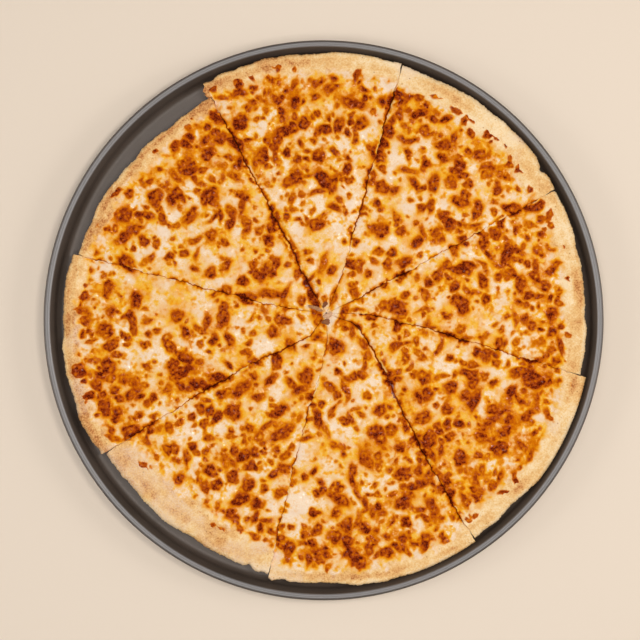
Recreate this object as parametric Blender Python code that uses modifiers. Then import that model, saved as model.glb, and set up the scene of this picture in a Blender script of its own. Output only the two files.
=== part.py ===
"""Cheese pizza, cut in eight slices that still keep its round, in a low metal pan with a rolled lip.

Units are metres and +Z is up. The origin is the middle of the pan's underside. Each slice is three
solids: the dough with its baked rim, a thin layer of sauce on the dough's bed, and the baked cheese on
the sauce. Slices are numbered clockwise from the one at the back (+Y). The slices are separate, with the
pizza wheel's narrow cut between them.
"""

import math
from dataclasses import dataclass

import bmesh
import bpy
import numpy as np

MM = 0.001

# Pan
PAN_RADIUS = 203.2 * MM
PAN_HEIGHT = 16.0 * MM
PAN_SHEET = 1.5 * MM
FLOOR_RADIUS = 192.5 * MM
WALL_FOOT_RADIUS = 195.5 * MM
WALL_TOP_RADIUS = 197.4 * MM
BEAD_RADIUS = 2.55 * MM
PAN_SEGMENTS = 72

# Layers of the pizza, as heights above its own underside
CLEARANCE = 0.3 * MM
BED_TOP = 4.5 * MM
SAUCE_DEPTH = 1.0 * MM
CHEESE_DEPTH = 2.7 * MM
RIM_WALL_TOP = 9.2 * MM

# Where the pizza wheel's cuts cross, and how wide they stand open
CUT_CENTRE = (2.0 * MM, 5.0 * MM)
CUT_GAP = 0.9 * MM
CUT_SWING_RADIUS = 20.0 * MM
SAUCE_SETBACK = 0.5 * MM
CHEESE_SETBACK = 0.15 * MM
SAUCE_RIM_GAP = 3.0 * MM
CHEESE_RIM_GAP = 0.6 * MM
LARGEST_REACH = 195.1 * MM

# Stations of the lofts: radii that all slices share, then the ones that follow each rim
BED_RADII = tuple(r * MM for r in (20.0, 37.0, 55.0, 75.0, 95.0, 115.0, 135.0, 150.0))
SAUCE_RADII = tuple(r * MM for r in (20.0, 37.0, 55.0, 95.0, 135.0))
CHEESE_RADII = tuple(r * MM for r in (20.0, 37.0, 55.0, 68.0, 81.0, 95.0, 108.0, 121.0, 135.0, 147.0, 157.0))
SLICE_STRIPS = 10
SAUCE_STRIPS = 3

# Section of the rim: share of its width from the inner wall outwards, and share of the crest's rise
RIM_TOP_SECTION = ((0.0, 0.0), (0.16, 0.55), (0.38, 0.95), (0.58, 1.0), (0.8, 0.72))
RIM_SHOULDER = (0.95, 0.62)
RIM_WIDEST = (1.0, 0.38)
RIM_FOOT = (0.95, 0.1)
RIM_UNDERSIDE_INSET = 5.0 * MM

# Unevenness of the baked surfaces
RIM_EDGE_WAVE = 0.9 * MM
RIM_CREST_WAVE = 0.8 * MM
CHEESE_WAVE = 0.5 * MM
CHEESE_CRAG = 0.6 * MM
CHEESE_EDGE_DROOP = 0.5 * MM


@dataclass(frozen=True)
class Cut:
    """One pull of the pizza wheel, from the middle out to the rim.

    The cut leaves the rim at `angle`, in degrees anticlockwise from +X, and has swung away from that line
    by `swing` degrees where it nears the middle. The swing dies away outwards over the length `fade`.
    """

    angle: float
    swing: float
    fade: float


@dataclass(frozen=True)
class Slice:
    """One slice, between the cut before it and its own cut, going clockwise.

    `reach` is the distance of its outer edge from the crossing of the cuts, at five places across it,
    `rim` the width of its bare rim at three places, `crest` the rim's height and `tip` the distance at
    which its point starts. All are in millimetres.
    """

    reach: tuple
    rim: tuple
    crest: float
    tip: float


CUTS = (
    Cut(73.0, -6.0, 35.0),
    Cut(28.5, -2.5, 60.0),
    Cut(-14.5, 14.5, 60.0),
    Cut(-57.0, 37.0, 35.0),
    Cut(-102.5, 14.5, 28.0),
    Cut(-147.7, 22.7, 18.0),
    Cut(-193.5, 6.5, 50.0),
    Cut(-242.0, 4.0, 15.0),
)

SLICES = (
    Slice((189.0, 189.5, 188.5, 189.5, 189.0), (13.0, 15.0, 17.0), 12.0, 4.5),
    Slice((187.0, 187.5, 189.0, 189.0, 188.5), (16.0, 20.0, 19.0), 12.5, 4.5),
    Slice((189.0, 189.0, 187.5, 189.0, 190.0), (17.0, 17.0, 18.0), 12.0, 6.0),
    Slice((195.0, 196.0, 197.0, 192.5, 195.0), (17.0, 15.0, 17.0), 12.0, 8.5),
    Slice((198.0, 199.0, 198.0, 195.0, 196.0), (14.0, 11.0, 12.0), 11.5, 4.5),
    Slice((194.0, 191.0, 190.0, 190.0, 189.0), (20.0, 26.0, 22.0), 13.0, 6.0),
    Slice((194.5, 196.0, 194.0, 192.0, 190.5), (16.0, 13.0, 15.0), 12.0, 4.5),
    Slice((185.5, 183.5, 180.0, 178.0, 178.0), (10.0, 14.0, 11.0), 12.5, 4.5),
)

PIZZA_BASE = PAN_SHEET + CLEARANCE


def make_material(name, colour, roughness, metallic=0.0):
    """Principled material with one colour."""
    material = bpy.data.materials.new(name)
    material.use_nodes = True
    shader = material.node_tree.nodes["Principled BSDF"]
    shader.inputs["Base Color"].default_value = (*colour, 1.0)
    shader.inputs["Roughness"].default_value = roughness
    shader.inputs["Metallic"].default_value = metallic
    material.diffuse_color = (*colour, 1.0)
    return material


def add_object(name, mesh, material, collection):
    """Puts a mesh into the collection as a smooth-shaded object of the given material."""
    part = bpy.data.objects.new(name, mesh)
    mesh.materials.append(material)
    mesh.shade_smooth()
    mesh.set_sharp_from_angle(angle=math.radians(40))
    collection.objects.link(part)
    return part


def arc(centre, radius, start, end, steps):
    """Points on a circle in the profile's plane, from one angle in degrees to another."""
    angles = [math.radians(start + (end - start) * k / steps) for k in range(steps + 1)]
    return [(centre[0] + radius * math.cos(a), centre[1] + radius * math.sin(a)) for a in angles]


def pan_profile():
    """Half section of the pan, from the middle of its floor over the lip and back along the underside."""
    bead = (PAN_RADIUS - BEAD_RADIUS, PAN_HEIGHT - BEAD_RADIUS)
    outer_foot = WALL_FOOT_RADIUS + PAN_SHEET
    floor = [(0.0, PAN_SHEET), (FLOOR_RADIUS, PAN_SHEET)]
    inner_fillet = [
        (WALL_FOOT_RADIUS - 0.9 * MM, PAN_SHEET + 0.7 * MM),
        (WALL_FOOT_RADIUS, PAN_SHEET + 2.1 * MM),
    ]
    inner_wall_top = [(WALL_TOP_RADIUS, PAN_HEIGHT - 2.2 * MM)]
    rolled_lip = arc(bead, BEAD_RADIUS, 150.0, -120.0, 9)
    outer_wall = [(WALL_TOP_RADIUS + PAN_SHEET, bead[1] - 2.6 * MM), (outer_foot, 2.6 * MM)]
    outer_fillet = [(outer_foot - 0.7 * MM, 0.7 * MM), (FLOOR_RADIUS + 2.0 * MM, 0.0)]
    underside = [(0.0, 0.0)]
    return floor + inner_fillet + inner_wall_top + rolled_lip + outer_wall + outer_fillet + underside


def make_pan(material, collection):
    """The pan: its half section turned round the Z axis by a Screw modifier."""
    points = pan_profile()
    mesh = bpy.data.meshes.new("pan")
    mesh.from_pydata([(r, 0.0, z) for r, z in points], [(k, k + 1) for k in range(len(points) - 1)], [])
    pan = add_object("pan", mesh, material, collection)
    turn = pan.modifiers.new("turn", "SCREW")
    turn.axis = "Z"
    turn.steps = PAN_SEGMENTS
    turn.render_steps = PAN_SEGMENTS
    turn.use_merge_vertices = True
    turn.merge_threshold = 0.00005
    turn.use_smooth_shade = True
    return pan


def cut_angle(index, radius):
    """Angle of a cut in radians at a distance from the crossing; cut 0 is the last one, a turn earlier."""
    cut = CUTS[index - 1]
    turn = 360.0 if index == 0 else 0.0
    outwards = np.maximum(np.asarray(radius) - CUT_SWING_RADIUS, 0.0)
    return np.radians(cut.angle + turn + cut.swing * np.exp(-outwards / (cut.fade * MM)))


def wave(place, seed, length):
    """Smooth unevenness between -1 and 1: three sines with seeded phases, the longest of `length`."""
    phases = np.random.default_rng(seed).uniform(0.0, 2.0 * math.pi, 3)
    total = sum(np.sin(2.0 * math.pi * place * k / length + phases[k - 1]) / k for k in (1, 2, 3))
    return total / (1.0 + 1.0 / 2.0 + 1.0 / 3.0)


def reach_to_wall(number, across):
    """Distance from the crossing at which a slice's edge would stand as near the pan's wall as it may."""
    radius = PAN_RADIUS
    angles = cut_angle(number - 1, radius) * (1.0 - across) + cut_angle(number, radius) * across
    along = CUT_CENTRE[0] * np.cos(angles) + CUT_CENTRE[1] * np.sin(angles)
    return np.sqrt(LARGEST_REACH**2 - math.dist(CUT_CENTRE, (0.0, 0.0)) ** 2 + along**2) - along


def edge_reach(number, across):
    """Distance of a slice's outer edge from the crossing, at shares of its width from 0 to 1."""
    stations = np.linspace(0.0, 1.0, 5)
    reach = np.interp(across, stations, SLICES[number - 1].reach) * MM
    reach = reach + RIM_EDGE_WAVE * wave(across, 10 + number, 0.35)
    return np.minimum(reach, reach_to_wall(number, across))


def rim_width(number, across):
    """Width of a slice's bare rim, at shares of its width from 0 to 1."""
    width = np.interp(across, (0.0, 0.5, 1.0), SLICES[number - 1].rim) * MM
    return width + RIM_EDGE_WAVE * wave(across, 20 + number, 0.45)


def crest_height(number, across):
    """Height of a slice's rim above the pizza's underside."""
    return SLICES[number - 1].crest * MM + RIM_CREST_WAVE * wave(across, 30 + number, 0.6)


def place(number, radii, heights, across, setback):
    """Points of a slice at given radii and heights: two arrays of one row a station, one column a strip.

    A point lies between the two cuts at its own radius, each drawn in by half the cut's gap and the setback.
    """
    inset = (CUT_GAP / 2.0 + setback) / radii
    before = cut_angle(number - 1, radii) - inset
    after = cut_angle(number, radii) + inset
    angles = before + (after - before) * across
    x = CUT_CENTRE[0] + radii * np.cos(angles)
    y = CUT_CENTRE[1] + radii * np.sin(angles)
    return np.stack([x, y, heights + PIZZA_BASE], axis=-1)


def zip_side(bottom, top, bottom_radii, top_radii):
    """Triangles of a cut face between its lower and upper edges, both running outwards."""
    faces = []
    low, high = 0, 0
    while low < len(bottom) - 1 or high < len(top) - 1:
        top_done = high == len(top) - 1
        if top_done or (low < len(bottom) - 1 and bottom_radii[low + 1] <= top_radii[high + 1]):
            faces.append((bottom[low], bottom[low + 1], top[high]))
            low += 1
        else:
            faces.append((bottom[low], top[high + 1], top[high]))
            high += 1
    return faces


def loft(name, bottom, top, material, collection):
    """Closed solid between a lower and an upper grid of points, each with its rows running outwards."""
    bottom_rows, top_rows, columns = len(bottom), len(top), bottom.shape[1]
    points = np.concatenate([bottom, top[::-1]]).reshape(-1, 3)
    rows = bottom_rows + top_rows
    faces = []
    for row in range(rows):
        following = (row + 1) % rows
        for column in range(columns - 1):
            faces.append((
                row * columns + column,
                row * columns + column + 1,
                following * columns + column + 1,
                following * columns + column,
            ))
    for column in (0, columns - 1):
        low = [row * columns + column for row in range(bottom_rows)]
        high = [(rows - 1 - row) * columns + column for row in range(top_rows)]
        low_radii = np.hypot(*(bottom[:, column, :2] - CUT_CENTRE).T)
        high_radii = np.hypot(*(top[:, column, :2] - CUT_CENTRE).T)
        faces += zip_side(low, high, low_radii, high_radii)
    mesh = bpy.data.meshes.new(name)
    mesh.from_pydata(points.tolist(), [], faces)
    solid = bmesh.new()
    solid.from_mesh(mesh)
    bmesh.ops.recalc_face_normals(solid, faces=solid.faces)
    solid.to_mesh(mesh)
    solid.free()
    return add_object(name, mesh, material, collection)


def rows_of(radii, across):
    """Grid of radii with one row for each station, repeated over the strips."""
    return np.repeat(np.asarray(radii)[:, None], len(across), axis=1)


def make_crust(number, material, collection):
    """Dough of one slice: a thin bed, and outside it the rim that rises over the cheese."""
    piece = SLICES[number - 1]
    across = np.linspace(0.0, 1.0, SLICE_STRIPS + 1)
    reach = edge_reach(number, across)
    width = rim_width(number, across)
    crest = crest_height(number, across)
    bed = rows_of((piece.tip * MM, *BED_RADII), across)
    inner = reach - width
    top_radii = np.vstack([
        bed,
        inner,
        *(inner + share * width + 0.2 * MM * (share == 0.0) for share, _ in RIM_TOP_SECTION),
        inner + RIM_SHOULDER[0] * width,
        reach,
    ])
    top_heights = np.vstack([
        np.full_like(bed, BED_TOP),
        np.full_like(inner, BED_TOP),
        *(RIM_WALL_TOP + rise * (crest - RIM_WALL_TOP) for _, rise in RIM_TOP_SECTION),
        RIM_SHOULDER[1] * crest,
        RIM_WIDEST[1] * crest,
    ])
    bottom_radii = np.vstack([bed, reach - RIM_UNDERSIDE_INSET, inner + RIM_FOOT[0] * width])
    bottom_heights = np.vstack([np.zeros_like(bed), np.zeros_like(reach), RIM_FOOT[1] * crest])
    bottom = place(number, bottom_radii, bottom_heights, across, 0.0)
    top = place(number, top_radii, top_heights, across, 0.0)
    return loft(f"crust_{number}", bottom, top, material, collection)


def layer_radii(number, radii, strips, setback, rim_gap):
    """Radii and strips of a layer that lies on the bed, stopping short of the rim's inner wall."""
    across = np.linspace(0.0, 1.0, strips + 1)
    grid = rows_of((SLICES[number - 1].tip * MM + setback, *radii), across)
    end = edge_reach(number, across) - rim_width(number, across) - rim_gap
    return across, np.vstack([grid, end])


def make_sauce(number, material, collection):
    """Sauce of one slice: an even layer, seen only as a line at the cuts."""
    name = f"sauce_{number}"
    across, radii = layer_radii(number, SAUCE_RADII, SAUCE_STRIPS, SAUCE_SETBACK, SAUCE_RIM_GAP)
    low = np.full_like(radii, BED_TOP + CLEARANCE)
    bottom = place(number, radii, low, across, SAUCE_SETBACK)
    top = place(number, radii, low + SAUCE_DEPTH, across, SAUCE_SETBACK)
    return loft(name, bottom, top, material, collection)


def make_cheese(number, material, collection):
    """Cheese of one slice: a blistered sheet that droops at the cuts and runs up to the rim."""
    name = f"cheese_{number}"
    across, radii = layer_radii(number, CHEESE_RADII, SLICE_STRIPS, CHEESE_SETBACK, CHEESE_RIM_GAP)
    low = np.full_like(radii, BED_TOP + SAUCE_DEPTH + 2.0 * CLEARANCE)
    bottom = place(number, radii, low, across, CHEESE_SETBACK)
    rolling = wave(bottom[..., 0] / MM, 40 + number, 62.0) + wave(bottom[..., 1] / MM, 50 + number, 71.0)
    crags = np.random.default_rng(60 + number).uniform(-1.0, 1.0, radii.shape)
    relief = CHEESE_WAVE * rolling / 2.0 + CHEESE_CRAG * crags
    relief[:, [0, -1]] = -CHEESE_EDGE_DROOP
    relief[0] = -CHEESE_EDGE_DROOP
    top = place(number, radii, low + CHEESE_DEPTH + relief, across, CHEESE_SETBACK)
    return loft(name, bottom, top, material, collection)


def main():
    """Builds the pan and the eight slices."""
    for old in list(bpy.data.objects):
        bpy.data.objects.remove(old, do_unlink=True)
    collection = bpy.data.collections.new("cheese_pizza_in_pan")
    bpy.context.scene.collection.children.link(collection)
    metal = make_material("dark_pan_metal", (0.14, 0.12, 0.11), 0.42, 0.85)
    dough = make_material("baked_dough", (0.80, 0.53, 0.25), 0.75)
    sauce = make_material("tomato_sauce", (0.45, 0.10, 0.04), 0.45)
    cheese = make_material("browned_cheese", (0.80, 0.38, 0.10), 0.38)
    make_pan(metal, collection)
    for number in range(1, len(SLICES) + 1):
        make_crust(number, dough, collection)
        make_sauce(number, sauce, collection)
        make_cheese(number, cheese, collection)


main()
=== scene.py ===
"""Fine surfaces, finishes, light and camera for a sliced cheese pizza in its round metal pan.

Lengths are millimetres in the pan's own frame, with the middle of its underside as the origin, +Z up and
+Y towards the back slice. They become metres when a mesh is written. The plan of the slices repeats the
sizes of the solid model. Slices are numbered clockwise from the back.
"""

from __future__ import annotations

import logging
import math
from dataclasses import dataclass
from enum import Enum

import bpy
import numpy as np
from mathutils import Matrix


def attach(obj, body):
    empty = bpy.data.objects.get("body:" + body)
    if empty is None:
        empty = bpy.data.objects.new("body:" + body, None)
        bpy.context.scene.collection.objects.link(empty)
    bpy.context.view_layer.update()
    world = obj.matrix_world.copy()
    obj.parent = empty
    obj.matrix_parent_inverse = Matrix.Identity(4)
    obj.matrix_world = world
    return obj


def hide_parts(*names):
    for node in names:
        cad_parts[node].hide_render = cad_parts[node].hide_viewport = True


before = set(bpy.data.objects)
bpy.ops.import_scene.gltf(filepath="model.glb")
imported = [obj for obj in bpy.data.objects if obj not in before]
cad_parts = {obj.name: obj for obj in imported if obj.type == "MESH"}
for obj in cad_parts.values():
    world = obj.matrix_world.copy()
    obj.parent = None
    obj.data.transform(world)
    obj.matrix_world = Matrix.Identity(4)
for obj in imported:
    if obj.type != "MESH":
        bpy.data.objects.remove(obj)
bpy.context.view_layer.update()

LOG = logging.getLogger("pizza")
METRE = 0.001
BODY = "root"
Array = np.ndarray
Stops = tuple[tuple[float, tuple[int, int, int]], ...]


def smooth_step(value: Array) -> Array:
    """Eases from 0 to 1: with t the value held between 0 and 1, t squared times (3 minus 2 t)."""
    t = np.clip(value, 0.0, 1.0)
    return t * t * (3.0 - 2.0 * t)


def linear(colour: tuple[int, int, int]) -> tuple[float, float, float, float]:
    """Scene-linear colour of an sRGB colour given as 0 to 255.

    Args:
        colour: Red, green and blue.

    Returns:
        Red, green, blue and alpha, from 0 to 1.
    """
    parts = [c / 255.0 for c in colour]
    red, green, blue = (c / 12.92 if c <= 0.04045 else ((c + 0.055) / 1.055) ** 2.4 for c in parts)
    return (red, green, blue, 1.0)


def blur(values: Array, sigma: float) -> Array:
    """Gaussian blur of a grid, which wraps at its edges.

    The grid's spectrum is multiplied by exp(-2 (pi sigma f) squared), with f in cycles a cell.

    Args:
        values: Two-dimensional grid.
        sigma: Width of the blur in cells.

    Returns:
        The blurred grid.
    """
    across = np.fft.rfftfreq(values.shape[1])[None, :]
    along = np.fft.fftfreq(values.shape[0])[:, None]
    response = np.exp(-2.0 * (math.pi * sigma) ** 2 * (across**2 + along**2))
    return np.fft.irfft2(np.fft.rfft2(values) * response, s=values.shape)


def grain(shape: tuple[int, int], sigma: float, seed: int) -> Array:
    """Smooth random grid: seeded white noise, blurred by `sigma` cells, with mean 0 and deviation 1."""
    values = blur(np.random.default_rng(seed).standard_normal(shape), sigma)
    return (values - values.mean()) / values.std()


def wave(place: Array, seed: int, length: float) -> Array:
    """Smooth unevenness between -1 and 1: three sines with seeded phases, the longest of `length`.

    Args:
        place: Where it is read.
        seed: Seed of the phases.
        length: Length of the longest sine.

    Returns:
        The unevenness.
    """
    phases = np.random.default_rng(seed).uniform(0.0, 2.0 * math.pi, 3)
    total = sum(np.sin(2.0 * math.pi * place * k / length + phases[k - 1]) / k for k in (1, 2, 3))
    return total / (1.0 + 1.0 / 2.0 + 1.0 / 3.0)


@dataclass(frozen=True)
class Waves:
    """A sum of waves, each given by its strength, its family of seeds and the length of its longest sine."""

    parts: tuple[tuple[float, int, float], ...]

    def at(self, place: Array, number: int) -> Array:
        """Unevenness at places along the slice or the cut of that number."""
        return sum(strength * wave(place, family + number, length) for strength, family, length in self.parts)


@dataclass(frozen=True)
class Sheet:
    """A square grid of values over the pizza, read at any point by bilinear interpolation."""

    values: Array
    half: float = 200.0
    step: float = 0.4

    @staticmethod
    def cells() -> int:
        """Number of grid points along one side."""
        return int(2 * Sheet.half / Sheet.step) + 1

    @staticmethod
    def places() -> tuple[Array, Array]:
        """X and Y of the grid's points."""
        line = np.linspace(-Sheet.half, Sheet.half, Sheet.cells())
        return np.meshgrid(line, line)

    @staticmethod
    def grain(length: float, seed: int) -> Array:
        """Smooth random grid whose features are about `length` wide."""
        return grain((Sheet.cells(), Sheet.cells()), length / Sheet.step, seed)

    @staticmethod
    def layers(*parts: tuple[float, float, int]) -> Array:
        """Sum of smooth random grids, each given by its strength, the width of its features and its seed."""
        return sum(strength * Sheet.grain(length, seed) for strength, length, seed in parts)

    def at(self, x: Array, y: Array) -> Array:
        """Values at points: the mean of the four grid points round each, by their nearness.

        Args:
            x: X of the points.
            y: Y of the points.

        Returns:
            One value for each point.
        """
        column = np.clip((x + self.half) / self.step, 0.0, self.cells() - 1.001)
        row = np.clip((y + self.half) / self.step, 0.0, self.cells() - 1.001)
        c, r = column.astype(int), row.astype(int)
        fc, fr = column - c, row - r
        low = self.values[r, c] * (1.0 - fc) + self.values[r, c + 1] * fc
        high = self.values[r + 1, c] * (1.0 - fc) + self.values[r + 1, c + 1] * fc
        return low * (1.0 - fr) + high * fr


@dataclass(frozen=True)
class Cut:
    """One pull of the pizza wheel: its angle at the rim, its swing near the middle and that swing's fade.

    Last comes how far it gapes on average, in millimetres.
    """

    angle: float
    swing: float
    fade: float
    open: float


@dataclass(frozen=True)
class Wedge:
    """Sizes of one slice, as in the solid model: outer edge, bare rim and crest height.

    Last comes how far its crumbs reach past the edge.
    """

    reach: tuple[float, ...]
    rim: tuple[float, ...]
    crest: float
    crumbs: float


@dataclass(frozen=True)
class EdgeMark:
    """A tongue or a notch of a slice's outer edge, as a bell: where across the slice, how wide, how deep."""

    slice: int
    across: float
    width: float
    depth: float


@dataclass(frozen=True)
class Tear:
    """A stretch where a cut gapes: which cut, how far from the crossing, half its length, and its width."""

    cut: int
    radius: float
    half: float
    width: float


@dataclass(frozen=True)
class Plan:
    """Where the cuts, rims and layers of the pizza lie.

    Heights are above the pizza's underside, which lies `base` above the pan's. The crest stands at the share
    `crest_at` of a rim's width, and `brink` is the share of its height where the outside turns under. The
    corner is the torn one of the first slice.
    """

    centre: tuple[float, float] = (2.0, 5.0)
    base: float = 1.8
    bed_top: float = 4.5
    cheese_under: float = 6.1
    cheese_top: float = 8.8
    rim_wall_top: float = 9.2
    swing_radius: float = 20.0
    largest_reach: float = 195.1
    pan_radius: float = 203.2
    crest_at: float = 0.58
    brink: float = 0.38
    inner_slope: float = 0.45
    melt_past: float = 2.4
    least_gap: float = 0.12
    widest_drift: float = 1.2
    corner_out: float = 3.2
    corner_from: float = 176.5
    corner_to: float = 184.0
    corner_ease: float = 5.0
    edge_waves: Waves = Waves(((0.9, 10, 0.35),))
    width_waves: Waves = Waves(((0.9, 20, 0.45),))
    crest_waves: Waves = Waves(((0.8, 30, 0.6),))
    ragged_waves: Waves = Waves(((0.3, 140, 0.13), (0.24, 150, 0.041)))
    fine_waves: Waves = Waves(((0.2, 160, 0.0173),))
    melt_waves: Waves = Waves(((1.7, 110, 0.31), (1.1, 120, 0.083)))
    drift_waves: Waves = Waves(((1.0, 70, 74.0), (0.5, 80, 17.0)))
    wander_waves: Waves = Waves(((0.8, 90, 43.0), (0.5, 100, 9.0), (0.22, 50, 3.3)))
    cuts: tuple[Cut, ...] = (
        Cut(73.0, -6.0, 35.0, 0.4),
        Cut(28.5, -2.5, 60.0, 0.3),
        Cut(-14.5, 14.5, 60.0, 0.45),
        Cut(-57.0, 37.0, 35.0, 0.75),
        Cut(-102.5, 14.5, 28.0, 0.2),
        Cut(-147.7, 22.7, 18.0, 0.65),
        Cut(-193.5, 6.5, 50.0, 0.4),
        Cut(-242.0, 4.0, 15.0, 0.65),
    )
    wedges: tuple[Wedge, ...] = (
        Wedge((189.0, 189.5, 188.5, 189.5, 189.0), (13.0, 15.0, 17.0), 12.0, 0.7),
        Wedge((187.0, 187.5, 189.0, 189.0, 188.5), (16.0, 20.0, 19.0), 12.5, 0.8),
        Wedge((189.0, 189.0, 187.5, 189.0, 190.0), (17.0, 17.0, 18.0), 12.0, 0.1),
        Wedge((195.0, 196.0, 197.0, 192.5, 195.0), (17.0, 15.0, 17.0), 12.0, 1.0),
        Wedge((198.0, 199.0, 198.0, 195.0, 196.0), (14.0, 11.0, 12.0), 11.5, 1.0),
        Wedge((194.0, 191.0, 190.0, 190.0, 189.0), (20.0, 26.0, 22.0), 13.0, 0.2),
        Wedge((194.5, 196.0, 194.0, 192.0, 190.5), (16.0, 13.0, 15.0), 12.0, -1.0),
        Wedge((185.5, 183.5, 180.0, 178.0, 178.0), (10.0, 14.0, 11.0), 12.5, -0.6),
    )
    edge_marks: tuple[EdgeMark, ...] = (
        EdgeMark(1, 0.045, 0.03, -1.6),
        EdgeMark(1, 0.16, 0.02, -0.9),
        EdgeMark(2, 0.79, 0.05, 1.6),
        EdgeMark(2, 0.885, 0.018, -1.8),
        EdgeMark(3, 0.07, 0.03, -0.8),
        EdgeMark(4, 0.1, 0.04, 0.8),
        EdgeMark(5, 0.93, 0.02, -1.6),
        EdgeMark(5, 0.985, 0.012, 1.2),
        EdgeMark(6, 0.06, 0.02, 1.6),
        EdgeMark(6, 0.1, 0.015, -1.6),
        EdgeMark(6, 0.55, 0.05, 1.2),
        EdgeMark(6, 0.83, 0.02, -1.5),
        EdgeMark(7, 0.03, 0.02, -1.4),
        EdgeMark(7, 0.3, 0.05, -1.0),
        EdgeMark(8, 0.75, 0.04, -1.0),
    )
    tears: tuple[Tear, ...] = (
        Tear(8, 23.5, 7.5, 5.2),
        Tear(8, 50.0, 8.0, 2.3),
        Tear(8, 69.0, 10.0, 2.7),
        Tear(8, 104.0, 16.0, 1.2),
        Tear(8, 150.0, 12.0, 0.6),
        Tear(7, 60.0, 6.0, 2.2),
        Tear(7, 84.0, 12.0, 0.5),
        Tear(2, 63.0, 5.0, 3.4),
        Tear(2, 36.0, 8.0, 0.8),
        Tear(1, 84.0, 14.0, 1.7),
        Tear(1, 160.0, 18.0, 1.1),
        Tear(3, 92.0, 11.0, 1.7),
        Tear(3, 150.0, 9.0, 0.8),
        Tear(4, 48.0, 12.0, 1.3),
        Tear(4, 78.0, 14.0, 1.8),
        Tear(4, 120.0, 14.0, 1.2),
        Tear(5, 110.0, 9.0, 0.7),
        Tear(6, 44.0, 9.0, 0.9),
        Tear(6, 92.0, 12.0, 0.6),
    )

    def cut_angle(self, index: int, radius: Array) -> Array:
        """Angle of a cut in radians at distances from the crossing; cut 0 is the last, a turn earlier.

        The wheel's swing fades outwards exponentially.

        Args:
            index: Number of the cut, where 0 is the last one, a turn earlier.
            radius: Distances from the crossing.

        Returns:
            The angles.
        """
        cut = self.cuts[index - 1]
        turn = 360.0 if index == 0 else 0.0
        outwards = np.maximum(np.asarray(radius) - self.swing_radius, 0.0)
        return np.radians(cut.angle + turn + cut.swing * np.exp(-outwards / cut.fade))

    def reach_to_wall(self, number: int, across: Array) -> Array:
        """Distance from the crossing at which a slice would touch the foot of the pan's wall.

        Args:
            number: Number of the slice.
            across: Shares of the way across the slice.

        Returns:
            The distances.
        """
        before = self.cut_angle(number - 1, self.pan_radius)
        after = self.cut_angle(number, self.pan_radius)
        angles = before * (1.0 - across) + after * across
        along = self.centre[0] * np.cos(angles) + self.centre[1] * np.sin(angles)
        offset = math.dist(self.centre, (0.0, 0.0)) ** 2
        return np.sqrt(self.largest_reach**2 - offset + along**2) - along

    def edge_reach(self, number: int, across: Array) -> Array:
        """Distance of a slice's outer edge from the crossing, held back from the pan's wall.

        Args:
            number: Number of the slice.
            across: Shares of the way across the slice.

        Returns:
            The distances.
        """
        stations = np.linspace(0.0, 1.0, 5)
        reach = np.interp(across, stations, self.wedges[number - 1].reach)
        reach = reach + self.edge_waves.at(across, number)
        return np.minimum(reach, self.reach_to_wall(number, across))

    def crumbly_reach(self, number: int, across: Array) -> Array:
        """Distance of the outer edge from the crossing with its fine raggedness, tongues and notches.

        Args:
            number: Number of the slice.
            across: Shares of the way across the slice.

        Returns:
            The distances.
        """
        crumbs = self.wedges[number - 1].crumbs
        reach = self.edge_reach(number, across) + crumbs + self.ragged_waves.at(across, number)
        for mark in self.edge_marks:
            if mark.slice == number:
                reach = reach + mark.depth * np.exp(-(((across - mark.across) / mark.width) ** 2))
        reach = np.minimum(reach, self.reach_to_wall(number, across) + 0.1)
        return reach + self.fine_waves.at(across, number) - 0.1

    def flap(self, number: int, radius: Array) -> Array:
        """How far the first slice's torn corner sticks out past its cut, where the last slice is set in.

        Args:
            number: Number of the slice.
            radius: Distances from the crossing.

        Returns:
            The widths, 0 on the other slices.
        """
        if number != 1:
            return np.zeros_like(radius)
        ragged = 1.0 + 0.35 * wave(radius, 185, 4.1) + 0.2 * wave(radius, 186, 1.7)
        swells = smooth_step((radius - self.corner_from) / self.corner_ease)
        shrinks = 1.0 - 0.7 * smooth_step((radius - self.corner_to) / self.corner_ease)
        return self.corner_out * ragged * swells * shrinks

    def rim_inner(self, number: int, across: Array) -> Array:
        """Distance of the rim's inner wall from the crossing."""
        return self.edge_reach(number, across) - self.rim_width(number, across)

    def melted_edge(self, number: int, across: Array) -> Array:
        """Distance of the melted cheese's edge from the crossing: about the rim's inner wall, ragged."""
        return self.rim_inner(number, across) + self.melt_past + self.melt_waves.at(across, number)

    def amber(self, number: int, radius: Array, across: Array, x: Array, y: Array) -> Array:
        """Browning that the rim has from its place: stains by the cheese, golden ridge, pale inner slope.

        The stains fade exponentially away from the melted edge, and their strength comes and goes in waves.

        Args:
            number: Number of the slice.
            radius: Distances from the crossing.
            across: Shares of the way across the slice.
            x: X of the points.
            y: Y of the points.

        Returns:
            What is added to the toast.
        """
        over = np.maximum(radius - self.melted_edge(number, across), 0.0)
        patches = wave(x, 171, 23.0) + wave(y, 172, 17.0) + 0.6 * wave(x + y, 173, 7.3)
        stain = (0.1 + 0.22 * smooth_step((patches + 0.4) / 1.1)) * np.exp(-over / 5.0)
        share = self.rim_share(number, radius, across)
        return stain + 0.3 * self.ridge(number, radius, across) - 0.11 * smooth_step((0.55 - share) / 0.4)

    def ridge(self, number: int, radius: Array, across: Array) -> Array:
        """Golden ridge of the rim: a Gaussian band along the crest that comes and goes.

        Args:
            number: Number of the slice.
            radius: Distances from the crossing.
            across: Shares of the way across the slice.

        Returns:
            Its strength, from 0 to 1.
        """
        share = self.rim_share(number, radius, across)
        comes = 0.35 + 0.65 * smooth_step(0.5 + 0.6 * wave(across, 175 + number, 0.21))
        return comes * np.exp(-(((share - 0.64) / 0.2) ** 2))

    def rim_share(self, number: int, radius: Array, across: Array) -> Array:
        """Place across the rim, 0 at its inner wall and 1 at its outer edge."""
        return (radius - self.rim_inner(number, across)) / self.rim_width(number, across)

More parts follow.
